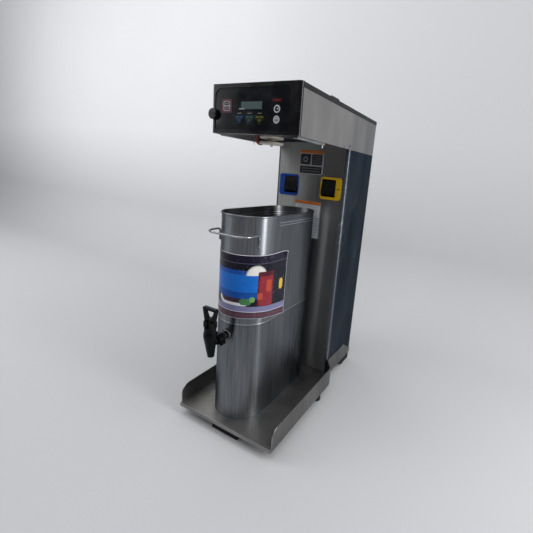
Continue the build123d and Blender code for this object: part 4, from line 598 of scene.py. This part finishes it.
class TEAMAKER_OT_dispenser(bpy.types.Operator):
    """Finishes of the dispenser's tank, skirt and wire handle"""
    bl_idname = "teamaker.dispenser"
    bl_label = "Dispenser"

    def execute(self, context):
        rough = context.scene.tea_steel.roughness
        seam, rim = SKIRT_HIGH.z, TANK_HIGH.z
        upright = (2.4, 2.4, 240.0)
        flat = TANK_LOW.y + 0.09
        # A pale line just over the seam, a painted highlight on the seam's upper edge, and two lines ground into the
        # flat flanks under the rim.
        flank = ("Y", TANK_LOW.y + 0.10, TANK_HIGH.y, 4 * MM)
        tank = brushed_steel("stainless_tank_satin", "#94979b", "#64676c", rough - 0.07, upright, 0.5,
                             scratches=0.12, painted_edge_glint=0.5, scratched_from=flat, bands=(
                                 ("Z", seam + 2.0 * MM, 1.6 * MM, "#d8dce2", 0.7),
                                 *(("Z", rim - down, 1.3 * MM, "#e4e8ee", 0.8, *flank) for down in GROUND_LINES)))
        # Painted shade: a dark line in the seam's gap.
        skirt = brushed_steel("stainless_skirt_satin", "#8c8f93", "#54575c", rough - 0.14, upright, 0.5,
                              scratches=0.14, scratched_from=flat,
                              bands=(("Z", seam, 2.0 * MM, "#0c0e11", 0.95),))
        dress(tank, "dispenser_tank")
        dress(skirt, "dispenser_skirt")
        wire = brushed_steel("stainless_wire_bright", "#b4b6b8", "#8c8e90", 0.22, (20.0, 20.0, 20.0), stretch=0.0)
        dress(wire, "dispenser_handle", "side_screws", "rear_screws", "paddle_pins")
        return {"FINISHED"}


class TEAMAKER_OT_wrap(bpy.types.Operator):
    """Printed wrap round the dispenser, with loose corners"""
    bl_idname = "teamaker.wrap"
    bl_label = "Printed wrap"

    def execute(self, context):
        settings = context.scene.tea_wrap
        reach = self.half_length()
        s = np.linspace(-reach, reach, 181)[None, :]
        v = np.linspace(0, 1, 61)[:, None]
        right = smooth(s / reach)
        low = WRAP_LOW.z - settings.dip * right ** 2
        z = low + (WRAP_HIGH.z - low) * v + 0 * s
        near_end = smooth((s - reach + 20 * MM) / (20 * MM))
        corner = near_end * (smooth((v - 0.86) / 0.14) + 0.8 * smooth((0.12 - v) / 0.12))
        wave = 0.25 * MM * (1 + np.sin(s / (13 * MM) + 5 * v) * np.sin(9 * v + s / (31 * MM)))
        rim = smooth((np.abs(v - 0.5) - 0.42) / 0.08)
        out = 0.25 * MM + wave * (0.4 + rim) + settings.curl * corner
        back = 1 - 0.05 * corner
        points = oval_point(s * back + 0 * v, z, out)
        uv = np.stack(np.broadcast_arrays(s + reach, (WRAP_HIGH.z - WRAP_LOW.z) * v), axis=-1)
        wrap = grid_mesh("printed_wrap", points, uv)
        thick = wrap.modifiers.new("film", "SOLIDIFY")
        thick.thickness = settings.thickness
        thick.offset = 1.0
        wrap.data.materials.append(self.film(reach))
        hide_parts("label_wrap")
        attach(wrap, "dispenser")
        return {"FINISHED"}

    def half_length(self):
        """Length along the wall from the front's middle to the wrap's end."""
        half = OVAL_HALF + (WRAP_LOW.z - SKIRT_HIGH.z) * OVAL_FLARE
        front = SKIRT_LOW.y + (WRAP_LOW.z - SKIRT_LOW.z) * OVAL_LEAN
        return half * np.pi / 2 + WRAP_HIGH.y - front - half

    def film(self, reach):
        """Film printed with plain bands, discs and bars in plum, blue, amber and green."""
        material, tree, shader = blank("printed_vinyl_wrap", Roughness=0.32, Coat_Weight=0.05, Coat_Roughness=0.12,
                                       Specular_IOR_Level=0.2)
        uv = add(tree, "ShaderNodeUVMap", uv_map="UVMap").outputs[0]
        parts = add(tree, "ShaderNodeSeparateXYZ", {0: uv})
        plane = add(tree, "ShaderNodeCombineXYZ", {"X": parts.outputs["X"], "Z": parts.outputs["Y"]}).outputs[0]
        wide, tall = reach, WRAP_HIGH.z - WRAP_LOW.z
        edge = 1.3 * MM
        # The pale ground shows only as a thin frame round the film's edges: a painted highlight on its crinkled
        # edges.
        marks = [
            ("#0f0d1d", (wide, tall / 2), (wide - edge, tall / 2 - edge), 3 * MM),
            ("#151226", (wide, tall - 11 * MM), (wide - edge, 8 * MM), 2 * MM),
            ("#5b5a72", (wide, tall - 21 * MM), (wide - edge, 0.6 * MM), 0.5 * MM),
            ("#d9d8dc", (wide * 1.06, tall * 0.30), (wide * 0.24, 16 * MM), 16 * MM),
            ("#3a2630", (wide * 1.06, tall * 0.34), (wide * 0.20, 15 * MM), 15 * MM),
            ("#0c4a9c", (wide * 0.61, tall * 0.54), (wide * 0.80, 36 * MM), 3 * MM),
            ("#1268c4", (wide * 0.61, tall * 0.56), (wide * 0.80, 22 * MM), 2 * MM),
            ("#b9b7b4", (wide * 1.38, tall * 0.68), (27 * MM, 27 * MM), 27 * MM),
            ("#e6e4df", (wide * 1.38, tall * 0.68), (24 * MM, 24 * MM), 24 * MM),
            ("#1268c4", (wide * 1.26, tall * 0.59), (wide * 0.19, 16 * MM), 1 * MM),
            ("#4f1220", (wide * 1.54, tall * 0.47), (26 * MM, 45 * MM), 5 * MM),
            ("#8a2630", (wide * 1.54, tall * 0.44), (22 * MM, 38 * MM), 5 * MM),
            ("#b5472f", (wide * 1.58, tall * 0.52), (9 * MM, 15 * MM), 5 * MM),
            ("#b5472f", (wide * 1.44, tall * 0.36), (7 * MM, 9 * MM), 4 * MM),
            ("#d8b83a", (wide * 1.87, tall * 0.50), (8 * MM, 14 * MM), 8 * MM),
            ("#3f7a48", (wide * 1.24, tall * 0.27), (15 * MM, 8 * MM), 8 * MM),
            ("#6fa35a", (wide * 1.33, tall * 0.31), (7 * MM, 7 * MM), 6 * MM),
            ("#77779c", (wide, tall * 0.155), (wide - edge, 7 * MM), 2 * MM),
            ("#c6c3d2", (wide, tall * 0.110), (wide - edge, 0.9 * MM), 0.5 * MM),
            ("#563844", (wide, tall * 0.055), (wide - edge, 6 * MM), 2 * MM),
        ]
        colour = painted(tree, plane, linear("#cfcbd6"), marks)
        place = add(tree, "ShaderNodeTexCoord").outputs["Object"]
        speckle = stretched_noise(tree, place, (0.010, 0.010, 0.008), 5.0)
        colour = blend_colour(tree, ramp(tree, speckle, 0.58, 0.78, 0.0, 0.22), colour, linear("#8f86a0"))
        tree.links.new(colour, shader.inputs["Base Color"])
        # Creases of the thin film: long soft ripples with small crinkles on them.
        ripples = stretched_noise(tree, place, (0.06, 0.06, 0.012), 3.0, 4.2)
        relief = add(tree, "ShaderNodeBump", {"Height": ripples, "Strength": 0.5, "Distance": 1.2 * MM})
        tree.links.new(relief.outputs[0], shader.inputs["Normal"])
        return material


class TEAMAKER_OT_faucet(bpy.types.Operator):
    """Finishes of the faucet"""
    bl_idname = "teamaker.faucet"
    bl_label = "Faucet"

    def execute(self, context):
        black = moulded("nylon_faucet_black", "#030406", 0.2, edge_wear_and_glint=0.1, shine=0.12)
        dress(black, "faucet_back_nut", "faucet_wing_nut", "faucet_body", "faucet_bonnet", "faucet_lever")
        # The collar's pale edges are a painted highlight, the bright ring round it.
        dress(moulded("nylon_collar_polished", "#08090d", 0.08, edge_wear_and_glint=0.5, shine=0.8), "faucet_shank")
        dress(moulded("silicone_seat_white", "#c8c8c0", 0.5), "faucet_stem")
        dress(brushed_steel("spring_wire", "#c8c8c8", "#8a8a8a", 0.3, (5.0, 5.0, 5.0), stretch=0.0), "faucet_spring")
        return {"FINISHED"}


class TEAMAKER_OT_inside(bpy.types.Operator):
    """Finishes of the pieces inside the trunk and the head"""
    bl_idname = "teamaker.inside"
    bl_label = "Inside"

    def execute(self, context):
        plain = brushed_steel("stainless_inner_plain", "#b5b5b3", "#8c8c8a", 0.38, (30.0, 30.0, 30.0), stretch=0.3)
        dress(plain, "tank_shelf", "hot_water_tank", "tank_lid", "heating_element", "temperature_probe")
        brass = brushed_steel("brass_turned", "#c9a55c", "#94743a", 0.3, (20.0, 20.0, 4.0), stretch=0.0)
        dress(brass, "brew_valve", "inlet_valve")
        dress(brushed_steel("copper_tube", "#c98a68", "#96603f", 0.3, (20.0, 20.0, 20.0), stretch=0.0), "water_pipes")
        return {"FINISHED"}


class TEAMAKER_PT_panel(bpy.types.Panel):
    """Lists the steps that dress the tea maker"""
    bl_idname = "TEAMAKER_PT_panel"
    bl_label = "Tea Maker"
    bl_space_type = "VIEW_3D"
    bl_region_type = "UI"
    bl_category = "Tea Maker"

    def draw(self, context):
        layout = self.layout
        for group in (context.scene.tea_steel, context.scene.tea_wrap, context.scene.tea_stage):
            for key in group.bl_rna.properties.keys():
                if key not in ("rna_type", "name"):
                    layout.prop(group, key)
        for step in STEPS:
            layout.operator(step.bl_idname)


STEPS = (TEAMAKER_OT_stage, TEAMAKER_OT_body, TEAMAKER_OT_controls, TEAMAKER_OT_underside,
         TEAMAKER_OT_trunk_front, TEAMAKER_OT_dispenser, TEAMAKER_OT_wrap, TEAMAKER_OT_faucet,
         TEAMAKER_OT_inside)
GROUPS = {"tea_steel": TeaMakerSteel, "tea_wrap": TeaMakerWrap, "tea_stage": TeaMakerStage}


def register():
    for name, group in GROUPS.items():
        bpy.utils.register_class(group)
        setattr(bpy.types.Scene, name, bpy.props.PointerProperty(type=group))
    for step in (*STEPS, TEAMAKER_PT_panel):
        bpy.utils.register_class(step)


def unregister():
    for step in reversed((*STEPS, TEAMAKER_PT_panel)):
        bpy.utils.unregister_class(step)
    for name, group in GROUPS.items():
        delattr(bpy.types.Scene, name)
        bpy.utils.unregister_class(group)


def main():
    register()
    for step in STEPS:
        area, action = step.bl_idname.split(".")
        getattr(getattr(bpy.ops, area), action)()


if __name__ == "__main__":
    main()
